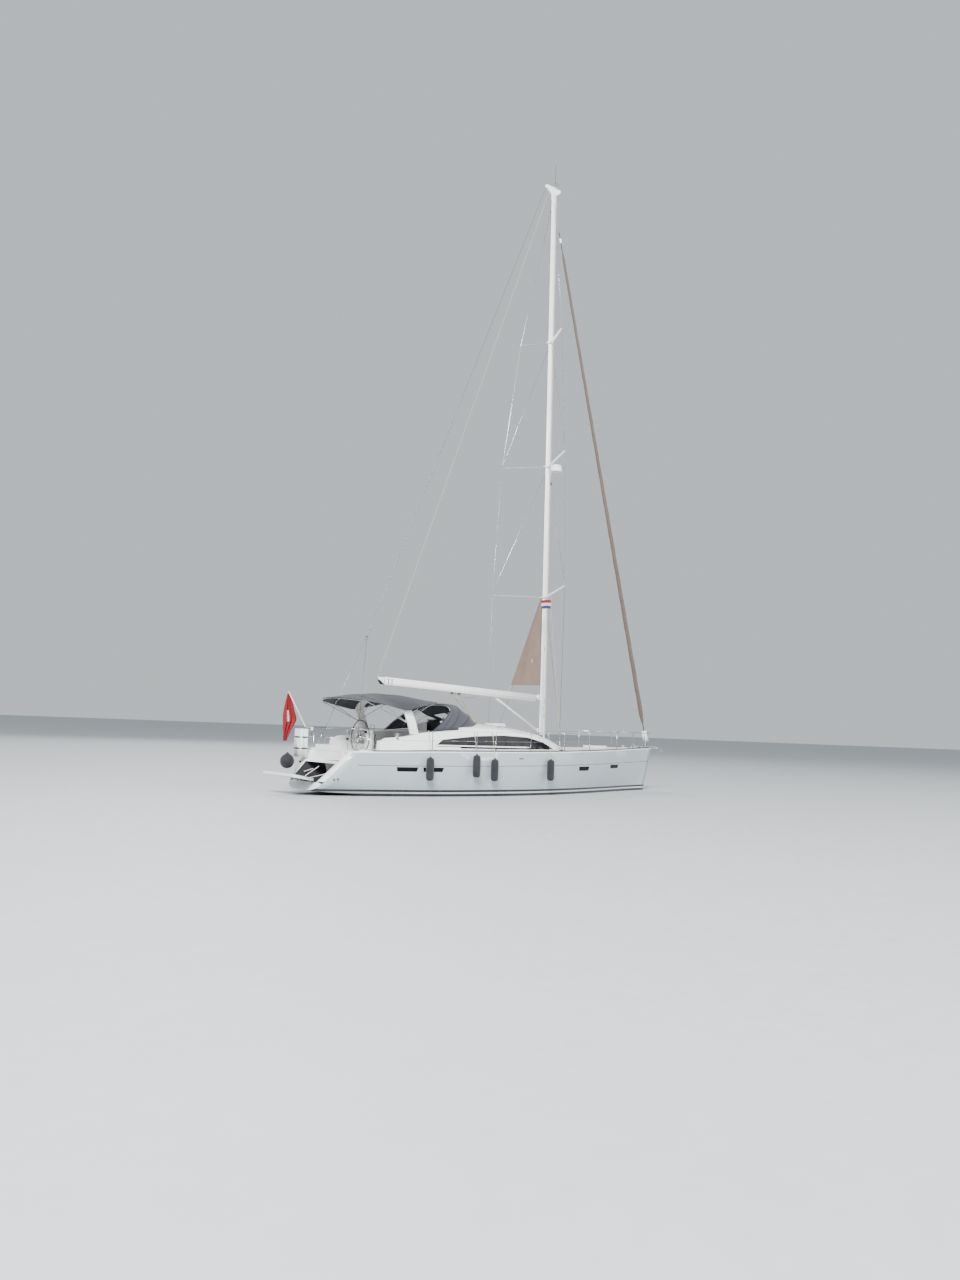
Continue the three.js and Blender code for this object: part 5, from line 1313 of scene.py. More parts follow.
@dataclass(frozen=True)
class Cockpit:
    """Cockpit moulding with laid teak, winches, steering gear and table."""

    seats: tuple[float, float, float, float] = (-6.94, -5.1, 0.46, 1.26)
    bench_z: float = 1.495
    sole_z: float = 1.0
    wheel_centre: Point = (-7.46, 0.0, 1.7)
    leather_from: float = 0.495
    stitch_reach: float = 0.503
    # Aft, fore, starboard and port edge of each laid floor
    floors: tuple[tuple[float, float, float, float], ...] = (
        (-8.06, -7.03, -0.93, 0.93), (-8.72, -8.06, -0.93, -0.08), (-7.02, -5.08, -0.41, 0.41),
    )
    teak_thickness: float = 0.009
    winch_x: float = -7.05
    winch_y: float = 1.4
    winch_z: float = 1.7

    def moulding(self, middle: Vector, normal: Vector) -> int:
        """1 for the treads, 0 for the smooth sides."""
        return 1 if normal.z > 0.97 and middle.z < 1.3 else 0

    def laid_teak(self) -> bpy.types.Object:
        """Teak planks on the sole and the benches, glued down with dark caulking between."""
        form = Form("cockpit_teak")
        thick = self.teak_thickness
        for aft, fore, starboard, port in self.floors:
            form.add(box((aft, starboard, self.sole_z), (fore, port, self.sole_z + thick), 0.003), TEAK)
        aft, fore, inner, outer = self.seats
        for _, side in SIDES:
            ends = sorted((side * inner, side * outer))
            form.add(box((aft, ends[0], self.bench_z), (fore, ends[1], self.bench_z + thick), 0.003), TEAK)
        return form.done(slot="teak")

    def winch(self, name: str, side: float) -> None:
        """A self-tailing winch with a line round its drum.

        Args:
            name: Its side's name.
            side: 1 for port, -1 for starboard.
        """
        form = Form(f"cockpit_winch_{name}")
        place = Matrix.Translation((self.winch_x, side * self.winch_y, self.winch_z))
        form.add(turned([(r, z * 1.03) for r, z in WINCH_PROFILE], 40), STEEL, place)
        coil = [
            (0.053 * math.cos(a), 0.053 * math.sin(a), 0.042 + 0.011 * a / (2 * math.pi))
            for a in (i * math.pi / 10 for i in range(61))
        ]
        form.add(rod(coil, 0.0055, 8), ROPE, place)
        form.done(replaces=(f"winch_{name}",), slot="stainless_steel")

    def steering(self) -> None:
        """The wheel with its stitched leather, and the pedestal with compass and display."""
        centre = Vector(self.wheel_centre)

        def covered(middle: Vector, normal: Vector) -> int:
            """1 for the rim, which is in leather, or 0."""
            reach = (Vector((0, middle.y, middle.z)) - Vector((0, centre.y, centre.z))).length
            return 1 if reach > self.leather_from else 0

        carried("steering_wheel", "wheel_rim_and_spokes", (STEEL, LEATHER), 40, covered)
        stitches = Form("wheel_stitching")
        for i in range(96):
            angle = 2 * math.pi * i / 96
            reach = self.stitch_reach
            a = centre + Vector((-0.004, reach * math.cos(angle), reach * math.sin(angle)))
            b = centre + Vector((0.004, reach * math.cos(angle + 0.02), reach * math.sin(angle + 0.02)))
            stitches.add(rod([a, b], 0.0016, 4), ROPE)
        stitches.done("steering_wheel", slot="wheel_leather")

        def tubes(middle: Vector, normal: Vector) -> int:
            """1 for the steel tubes beside the column, or 0."""
            return 1 if abs(middle.y) > 0.105 and middle.x > -7.06 or middle.x < -7.3 else 0

        carried("steering_pedestal", "pedestal_column", (GELCOAT, STEEL), 30, tubes)
        pod = Form("pedestal_pod")
        pod.add(box((-7.27, -0.1, 1.8), (-7.07, 0.1, 1.925), 0.03, 3), GELCOAT)
        pod.add(box((-7.275, -0.075, 1.825), (-7.262, 0.075, 1.905), 0.004), GLAZING)
        pod.add(turned([(0, 0), (0.06, 0), (0.062, 0.012), (0.052, 0.022), (0.05, 0.024)], 28), DARK_ALLOY,
                Matrix.Translation((-7.17, 0, 1.925)))
        pod.add(ball((-7.17, 0, 1.935), 0.048), GLAZING)
        pod.add(rod([(-7.1, -0.115, 1.62), (-7.1, -0.15, 1.62), (-7.12, -0.155, 1.7), (-7.13, -0.155, 1.74)],
                    [0.012, 0.012, 0.007, 0.013], 10), STEEL)
        pod.done(slot="gelcoat_white")

    def build(self) -> None:
        """Builds and dresses the cockpit."""
        carried("cockpit", "cockpit_moulding", (GELCOAT, NONSKID), 30, self.moulding)
        self.laid_teak()
        for name, side in SIDES:
            self.winch(name, side)
        self.steering()
        carried("cockpit_table", "cockpit_table_top", (TEAK, GELCOAT), 30,
                lambda middle, normal: 0 if middle.z > 1.63 or abs(middle.y) > 0.09 else 1)
        carried("helm_seat_locker", "helm_seat_box", (GELCOAT,), 30)
        carried("helm_seat_lid", "helm_seat_top", (GELCOAT, NONSKID), 30,
                lambda middle, normal: 1 if normal.z > 0.97 else 0)


@dataclass(frozen=True)
class Stern:
    """Bathing platform, transom gear, raft, pushpits, ensign and the ball fender."""

    struts: tuple[tuple[Point, Point], ...] = (
        ((-9.02, 0.483, 0.504), (-8.778, 0.107, 0.807)),
        ((-9.06, 0.227, 0.455), (-8.917, -0.633, 0.633)),
        ((-8.973, 0.947, 0.564), (-8.841, 0.339, 0.729)),
    )
    platform_line: tuple[Point, ...] = (
        (-8.86, 1.15, 0.90), (-8.94, 1.12, 0.81), (-9.02, 1.06, 0.715), (-9.09, 0.98, 0.62),
        (-9.16, 0.9, 0.52), (-9.23, 0.81, 0.42), (-9.28, 0.74, 0.35),
    )
    staff_foot: Point = (-8.70, 1.20, 1.955)
    staff_head: Point = (-9.32, 1.222, 3.0)
    raft_low: Point = (-9.01, 0.886, 1.05)
    raft_high: Point = (-8.73, 1.346, 1.90)
    ball_place: Point = (-9.255, 1.219, 0.91)
    ball_radius: float = 0.22
    # Half section of the ball fender, as shares of its radius
    ball_profile: tuple[Pair, ...] = (
        (0, -1.02), (0.2, -1.0), (0.42, -0.93), (0.66, -0.78), (0.86, -0.52), (0.98, -0.2), (0.99, 0.12),
        (0.9, 0.45), (0.72, 0.7), (0.48, 0.9), (0.24, 1.03), (0.14, 1.12), (0.12, 1.22), (0.0, 1.26),
    )
    # Rows of the ensign: height, aft edge and forward edge, from the staff's head down
    ensign_rows: tuple[Point, ...] = (
        (2.975, -9.335, -9.29), (2.72, -9.38, -9.165), (2.42, -9.42, -9.06), (2.16, -9.43, -8.99),
        (1.86, -9.43, -9.16), (1.56, -9.4, -9.29),
    )
    ensign_size: Pair = (0.75, 1.35)
    ensign_y: float = 1.243

    def platform(self) -> None:
        """The transom door let down: planks in a white rim, their pale pinkish tone painted shade with a warm
        painted reflection.
        """
        carried("transom_platform", "bathing_platform", (GELCOAT, PAINTED_SHADE_TEAK), 30,
                lambda middle, normal: 1 if normal.z > 0.9 and abs(middle.y) < 0.9 else 0)

    def transom_gear(self) -> None:
        """Thin struts in the transom's opening and a foot block on the port wing."""
        form = Form("transom_struts")
        for low, high in self.struts:
            form.add(rod([low, high], 0.012, 10), ALLOY)
            for end in (low, high):
                form.add(ball(end, 0.02), STEEL)
        form.done(slot="painted_alloy")
        line = Form("platform_line")
        line.add(rod(self.platform_line, 0.007, 10), ROPE)
        piece = line.done(None, slot="sun_strip_cloth")
        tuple(self.platform_line[0])
        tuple(self.platform_line[-1])
        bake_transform(piece)
        block = Form("wing_block")
        x, y, z = self.platform_line[0]
        block.add(box((x - 0.02, y - 0.03, z - 0.03), (x + 0.05, y + 0.03, z + 0.03), 0.012), RUBBER)
        block.done(slot="painted_alloy")

    def raft(self) -> None:
        """The raft's canister with its two straps."""
        carried("liferaft", "raft_canister", (GELCOAT,), 35)
        straps = Form("raft_straps")
        low, high = Vector(self.raft_low), Vector(self.raft_high)
        for share in (0.3, 0.7):
            z = low.z + (high.z - low.z) * share
            loop = []
            cx, cy = (low.x + high.x) / 2, (low.y + high.y) / 2
            hx, hy = (high.x - low.x) / 2 + 0.003, (high.y - low.y) / 2 + 0.003
            for i in range(40):
                angle = 2 * math.pi * i / 40
                c, s = math.cos(angle), math.sin(angle)
                px = math.copysign(abs(c) ** 0.45, c) * hx
                py = math.copysign(abs(s) ** 0.45, s) * hy
                loop.append((cx + px, cy + py, z))
            straps.add(rod(loop, 0.004, 6, closed=True, flat=5.5), RUBBER)
        straps.done(slot="acrylic_canvas")

    def ensign(self) -> None:
        """The ensign hanging from its staff in deep folds."""
        foot, head = Vector(self.staff_foot), Vector(self.staff_head)

        def hang(u: float, v: float) -> Vector:
            """A point of the hanging ensign.

            Args:
                u: Share from the staff outward.
                v: Share from the staff's head down.

            Returns:
                The point.
            """
            z, aft, fore = smooth_row(self.ensign_rows, v)
            depth = 0.02 + 0.062 * min(1.0, v * 1.8)
            fold = math.sin(2 * math.pi * (3.0 * u + 0.15 * math.sin(4 * v))) * depth * (1 - 0.15 * v)
            drop = 0.05 * math.sin(math.pi * u) * v + 0.03 * math.sin(9 * u) * v
            x = fore + (aft - fore) * (u + 0.05 * math.sin(2 * math.pi * 3.0 * u))
            return Vector((x, self.ensign_y + fold * (0.35 + 0.65 * u) + 0.02 * u, z - drop))

        form = Form("ensign_cloth")
        width, length = self.ensign_size
        columns = ((0.0, 0.62), (0.62, 0.74), (0.74, 1.0))
        for left, right in columns:
            for top, foot_share, finish in (
                (0.0, 0.375, FLAG), (0.375, 0.625, FLAG_WHITE), (0.625, 1.0, FLAG)):
                part = sheet(
                    round(60 * (right - left)), round(64 * (foot_share - top)),
                    lambda u, v, s=(left, right), t=(top, foot_share): hang(
                        s[0] + (s[1] - s[0]) * u, t[0] + (t[1] - t[0]) * v),
                    (width * (right - left), length * (foot_share - top)))
                form.add(part, finish if left == columns[1][0] else FLAG)
        bmesh.ops.remove_doubles(form.mesh, verts=form.mesh.verts, dist=1e-5)
        cloth = form.done(replaces=("ensign",), slot="flag_cloth", crease=60)
        carried("ensign_staff", "ensign_pole", (ALLOY,), 30)
        tip = Form("ensign_staff_knob")
        tip.add(ball(tuple(head), 0.02), ALLOY)
        low_end = foot + (head - foot) * 0.42 + Vector((-0.012, 0.02, 0))
        tip.add(rod([low_end, head + Vector((-0.01, 0.016, -0.02))], 0.0025, 6), ROPE)
        tip.done(slot="painted_alloy")

    def ball_fender(self) -> None:
        """The ball fender in its fleece cover, on a short rope."""
        radius = self.ball_radius
        form = Form("ball_fender_cover")
        profile = [(r * radius, z * radius) for r, z in self.ball_profile]
        form.add(turned(profile, 40), FLEECE, Matrix.Translation(self.ball_place))
        cover = form.done(replaces=("ball_fender",), slot="fender_cover", crease=80, smooth=1)
        rope = Form("ball_fender_rope")
        x, y, z = self.ball_place
        low = (x, y, z + radius * 1.22)
        rope.add(
            rod([low, (x + 0.06, y, z + 0.38), (-9.075, 1.205, 1.45), (-9.0, 1.2, 1.555)], 0.0075, 10), ROPE)
        rope.add(ball(low, 0.02, (1, 1, 1.3)), ROPE)
        rope.done(slot="fender_cover")

    def build(self) -> None:
        """Builds and dresses the stern."""
        self.platform()
        self.transom_gear()
        self.raft()
        self.ensign()
        self.ball_fender()
        for name, _ in SIDES:
            carried(f"pushpit_{name}", f"pushpit_tubes_{name}", (STEEL,), 40)
        light = Form("stern_light")
        light.add(box((-8.55, -1.06, 1.62), (-8.5, -1.0, 1.7), 0.012), RUBBER)
        light.add(box((-8.562, -1.05, 1.632), (-8.545, -1.01, 1.688), 0.006), GLAZING)
        light.done(slot="painted_alloy")


@dataclass(frozen=True)
class Rig:
    """Mast, spreaders, stays, furled headsail, boom and running rigging."""

    mast_top: float = 21.85
    slot_foot: float = 3.42
    roll_foot: Point = (5.236, 0.0, 2.48)
    roll_head: Point = (0.272, 0.0, 19.88)
    roll_radii: Pair = (0.089, 0.047)
    foil_foot: Point = (5.304, 0.0, 2.245)
    foil_head: Point = (0.095, 0.0, 20.5)
    stay_head: Point = (-0.108, 0.0, 21.21)
    turns: float = 15.0
    boom_foot: Point = (-0.365, 0.0, 3.233)
    boom_tip: Point = (-6.70, 0.0, 3.475)
    boom_end: tuple[Pair, ...] = ((-6.69, 3.365), (-6.79, 3.37), (-6.97, 3.585), (-6.69, 3.585))
    boom_mouth: tuple[Pair, ...] = ((-6.70, 3.362), (-6.795, 3.362), (-6.90, 3.49), (-6.86, 3.49))
    boom_slots: Pair = (-6.57, -6.44)
    clew: tuple[Pair, ...] = ((-0.145, 3.70), (-0.145, 6.78), (-1.5, 3.64))
    head_width: float = 0.12
    sheet_foot: float = -3.02
    sheet_blocks: Pair = (-4.02, -3.73)
    rope_radius: float = 0.0065
    flag_place: Point = (-0.57, -0.90, 6.62)
    flag_size: Pair = (0.42, 0.3)
    # X, Y and top of each halyard along the mast
    halyards: tuple[Point, ...] = (
        (0.135, 0.03, 20.4), (0.135, -0.03, 21.6), (0.02, 0.085, 16.0), (0.02, -0.085, 16.0),
    )

    def furled_headsail(self) -> None:
        """The rolled headsail: a sun strip wound in a slow spiral round the foil."""
        foot, head = Vector(self.roll_foot), Vector(self.roll_head)
        way = (head - foot).normalized()
        side = Vector((0, 1, 0))
        front = side.cross(way).normalized()
        length = (head - foot).length
        start, end = self.roll_radii

        def wound(u: float, v: float) -> Vector:
            """A point of the rolled sail's outer skin.

            Args:
                u: Share round it.
                v: Share along it, from the tack up.

            Returns:
                The point.
            """
            angle = 2 * math.pi * u
            spiral = (u + v * self.turns) % 1.0
            shoulder = min(1.0, v * 40) ** 0.5 * min(1.0, (1 - v) * 60) ** 0.5
            lap = 1.0 - 0.13 * spiral + 0.03 * math.sin(2 * angle + 9 * v)
            radius = (start + (end - start) * v) * max(0.28, shoulder) * lap
            return foot + way * length * v + (side * math.cos(angle) + front * math.sin(angle)) * radius

        roll = sheet(56, 420, wound, (0.5, length))
        bmesh.ops.remove_doubles(roll, verts=roll.verts, dist=1e-5)
        bmesh.ops.holes_fill(roll, edges=roll.edges[:], sides=0)
        bmesh.ops.recalc_face_normals(roll, faces=roll.faces)
        form = Form("furled_headsail")
        form.add(roll, SUN_STRIP)
        sail = form.done(replaces=("furled_genoa",), slot="sun_strip_cloth", crease=50)
        stay = Form("headsail_foil")
        stay.add(rod([self.foil_foot, self.foil_head], 0.019, 12), DARK_ALLOY)
        stay.add(rod([self.foil_head, self.stay_head], 0.007, 8), STEEL)
        swivel = Vector(self.foil_head).lerp(Vector(self.roll_head), 0.6)
        swivel_top = swivel + way * 0.16
        barrel = [swivel, swivel + way * 0.03, swivel_top - way * 0.03, swivel_top]
        stay.add(rod(barrel, [0.03, 0.04, 0.04, 0.03], 16), ALLOY)
        stay.done(slot="painted_alloy")
        carried("furler_drum", "furler_drum_housing", (ALLOY,), 35)

    def mast(self) -> None:
        """The mast with its sail slot, exits and the masthead."""
        carried("mast", "mast_section", (ALLOY,), 40)
        carried("masthead_crane", "masthead_fittings", (ALLOY, DARK_ALLOY), 35,
                lambda middle, normal: 1 if middle.z > 22.1 else 0)
        slot = Form("mast_slot_and_exits")
        # Painted shade: the sail slot is a black rod standing for the shade inside it.
        slot.add(
            rod([mast_point(self.slot_foot, -0.1195), mast_point(self.mast_top - 0.25, -0.1195)], 0.009, 6),
            RUBBER)
        for z, way in ((2.55, 1), (2.8, -1), (3.05, 1), (4.9, -1)):
            for y in (-0.064, 0.064):
                a, b = mast_point(z, 0.02 * way, y), mast_point(z + 0.16, 0.02 * way, y)
                slot.add(rod([a, b], [0.008, 0.012], 8, flat=0.6), RUBBER)
        slot.done(slot="painted_alloy")
        collar = Form("mast_collar")
        roof = Surface("deckhouse")
        ring = []
        for i in range(32):
            angle = 2 * math.pi * i / 32
            x, y = 0.145 * math.cos(angle), 0.09 * math.sin(angle)
            ring.append((x, y, (roof.top(x, y) or roof.top(x * 1.4, y * 1.4)) + 0.018))
        collar.add(rod(ring, 0.024, 10, closed=True), DARK_ALLOY)
        collar.done(slot="painted_alloy")
        light = Form("deck_and_steaming_light")
        place = mast_point(11.0, 0.125)
        low, high = place + Vector((-0.01, -0.04, -0.05)), place + Vector((0.07, 0.04, 0.05))
        light.add(box(tuple(low), tuple(high), 0.012), DARK_ALLOY)
        light.add(ball(tuple(place + Vector((0.05, 0, -0.01))), 0.034), VINYL)
        light.done(slot="painted_alloy")

    def stays(self) -> None:
        """Spreaders, shrouds, backstay and the radar dome."""
        for name in ("lower", "middle", "upper"):
            carried(f"spreaders_{name}", f"spreader_arms_{name}", (ALLOY,), 40)
        for name, _ in SIDES:
            carried(f"shrouds_{name}", f"shroud_wires_{name}", (STEEL,), 40)
        carried("backstay", "backstay_wires", (STEEL,), 40)
        carried("radar", "radar_dome", (ALLOY,), 35)

    def boom(self) -> None:
        """The boom with its ends, the vang, and the lines that run along and below it."""
        carried("boom", "boom_section", (ALLOY, DARK_ALLOY), 35,
                lambda middle, normal: 1 if middle.x < -6.55 and normal.x < -0.4 else 0)
        carried("boom_vang", "rigid_vang", (ALLOY,), 35)
        fittings = Form("boom_fittings")
        for x in self.boom_slots:
            z = self.boom_z(x)
            fittings.add(box((x - 0.013, -0.079, z - 0.075), (x + 0.013, 0.079, z + 0.085), 0.004), RUBBER)
        fittings.add(slab(self.boom_end, 0.1), ALLOY)
        fittings.add(slab(self.boom_mouth, 0.106), RUBBER)
        for x in self.sheet_blocks:
            z = self.boom_z(x) - 0.118
            fittings.add(box((x - 0.05, -0.022, z - 0.05), (x + 0.05, 0.022, z + 0.006), 0.008), DARK_ALLOY)
        fittings.done("boom", slot="painted_alloy")
        ropes = Form("boom_lines")
        low = -0.135
        for start, end, sag, y, shade in (
            (-4.6, -3.35, 0.16, -0.03, ROPE), (-3.9, -2.9, 0.11, 0.03, BLUE_ROPE),
            (-4.3, -3.75, 0.2, 0.0, ROPE), (-3.3, -2.5, 0.05, -0.02, ROPE),
        ):
            a = (start, y, self.boom_z(start) + low)
            b = (end, y, self.boom_z(end) + low)
            ropes.add(rod(arc(a, b, sag, 14), self.rope_radius, 8), shade)
        for y, drop in ((-0.045, 0.0), (0.045, 0.03)):
            ropes.add(rod([(-0.47, y, 3.03 - drop), (-2.2, y, 3.17)], 0.005, 8), ROPE)
        for y in (-0.02, 0.02):
            tackle = [(-2.4, y, self.boom_z(-2.4) + low), (-0.42, y * 1.5, 2.37)]
            ropes.add(rod(tackle, self.rope_radius, 8), ROPE)
        ropes.done("boom", slot="sun_strip_cloth")

    def boom_z(self, x: float) -> float:
        """Height of the boom's centreline at X."""
        foot, tip = Vector(self.boom_foot), Vector(self.boom_tip)
        return foot.z + (tip.z - foot.z) * (x - foot.x) / (tip.x - foot.x)

    def mainsail_corner(self) -> None:
        """The corner of the mainsail left out of the mast, drawn taut by its outhaul."""
        tack, head, clew = (Vector((x, 0, z)) for x, z in self.clew)
        top = head + Vector((-self.head_width, 0, -0.01))

        def drawn(u: float, v: float) -> Vector:
            """A point of the corner.

            Args:
                u: Share from the mast to the leech.
                v: Share from the top down.

            Returns:
                The point.
            """
            point = head.lerp(tack, v).lerp(top.lerp(clew, v), u)
            belly = 0.03 * math.sin(math.pi * u) * math.sin(math.pi * v)
            flutter = 0.006 * math.sin(16 * u + 5 * v) * v
            return point + Vector((0, belly + flutter, 0))

        form = Form("mainsail_corner_cloth")
        # The corner's cloth is the lit copy of the sun strip cloth, made lighter by painted light.
        form.add(sheet(26, 60, drawn, (1.35, 3.1)), SUN_STRIP_LIT)
        cloth = form.done("boom", replaces=("mainsail_clew",), slot="sun_strip_cloth", crease=60)
        ring = Form("clew_ring_and_outhaul")
        patch = sheet(
            5, 5, lambda u, v: drawn(0.37 + 0.08 * u, 0.70 + 0.045 * v) + Vector((0, -0.006, 0)), (0.1, 0.18))
        ring.add(patch, SAILCLOTH)
        corner = clew + Vector((0.07, 0, 0.03))
        ring.add(rod([corner + Vector((0.03 * math.cos(a), 0, 0.03 * math.sin(a)))
                      for a in (2 * math.pi * i / 16 for i in range(16))], 0.006, 8, closed=True), STEEL)
        ring.add(rod([corner + Vector((-0.02, 0, -0.02)), Vector((-1.65, 0, 3.405))], 0.006, 8), ROPE)
        ring.done("boom", slot="sun_strip_cloth")

    def running_rigging(self) -> None:
        """Mainsheet tackles and topping lift, which run from the boat to the boom, and the halyards."""
        sheets = Form("mainsheet_tackles")
        base = Vector((self.sheet_foot, 0.0, Surface("deckhouse").top(self.sheet_foot, 0.0) + 0.03))
        for x in self.sheet_blocks:
            top = Vector((x, 0, self.boom_z(x) - 0.165))
            for y in (-0.012, 0.0, 0.012):
                shift = Vector((0, y, 0))
                steps = [base.lerp(top, i / 12) + shift for i in range(13)]
                sheets.add(rod(steps, self.rope_radius, 8), ROPE)
        tackles = sheets.done(None, slot="sun_strip_cloth")
        self.boom_z(-3.85) - 0.165
        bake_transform(tackles)
        block = Form("mainsheet_base")
        low, high = base + Vector((-0.06, -0.03, -0.04)), base + Vector((0.06, 0.03, 0.02))
        block.add(box(tuple(low), tuple(high), 0.01), DARK_ALLOY)
        block.done(slot="painted_alloy")
        lift = Form("topping_lift")
        head = Vector((-0.47, 0.0, 21.86))
        end = Vector((self.boom_end[2][0] + 0.03, 0, self.boom_end[2][1] - 0.005))
        lift.add(rod([head.lerp(end, i / 40) for i in range(41)], 0.005, 8), ROPE)
        line = lift.done(None, slot="sun_strip_cloth")
        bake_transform(line)
        halyards = Form("halyards")
        for x, y, top_z in self.halyards:
            halyards.add(rod([mast_point(1.98, x, y), mast_point(top_z, x, y)], 0.005, 6), ROPE)
        halyards.done(slot="sun_strip_cloth")

    def courtesy_flag(self) -> None:
        """A small flag of three plain bands on a thin line below the starboard spreader."""
        x, y, top = self.flag_place
        width, drop = self.flag_size
        form = Form("courtesy_flag_cloth")
        bands = ((0.0, 1 / 3, FLAG), (1 / 3, 2 / 3, FLAG_WHITE), (2 / 3, 1.0, FLAG_BLUE))
        for start, end, finish in bands:
            def fly(u: float, v: float, s: float = start, e: float = end) -> Vector:
                """A point of one band of the flag.

                Args:
                    u: Share from the line outward.
                    v: Share down the band.
                    s: Share of the flag at which the band starts.
                    e: Share at which it ends.

                Returns:
                    The point.
                """
                down = s + (e - s) * v
                wave = 0.03 * math.sin(7 * u + 2 * down) * u
                return Vector((x - width * u, y + wave, top - drop * down - 0.05 * u * u))

            form.add(sheet(16, 6, fly, (0.44, 0.1)), finish)
        cloth = form.done(slot="flag_cloth", crease=60)
        line = Form("courtesy_flag_halyard")
        deck = Surface("deck")
        line.add(rod([(x + 0.004, y, 6.86), (x + 0.004, y, top), (x + 0.004, y, top - drop),
                      (-0.78, -1.83, deck.top(-0.78, -1.83))], 0.005, 6), ROPE)
        line.done(slot="sun_strip_cloth")

    def build(self) -> None:
        """Builds and dresses the rig."""
        self.mast()
        self.stays()
        self.furled_headsail()
        self.boom()
        self.mainsail_corner()
        self.running_rigging()
        self.courtesy_flag()


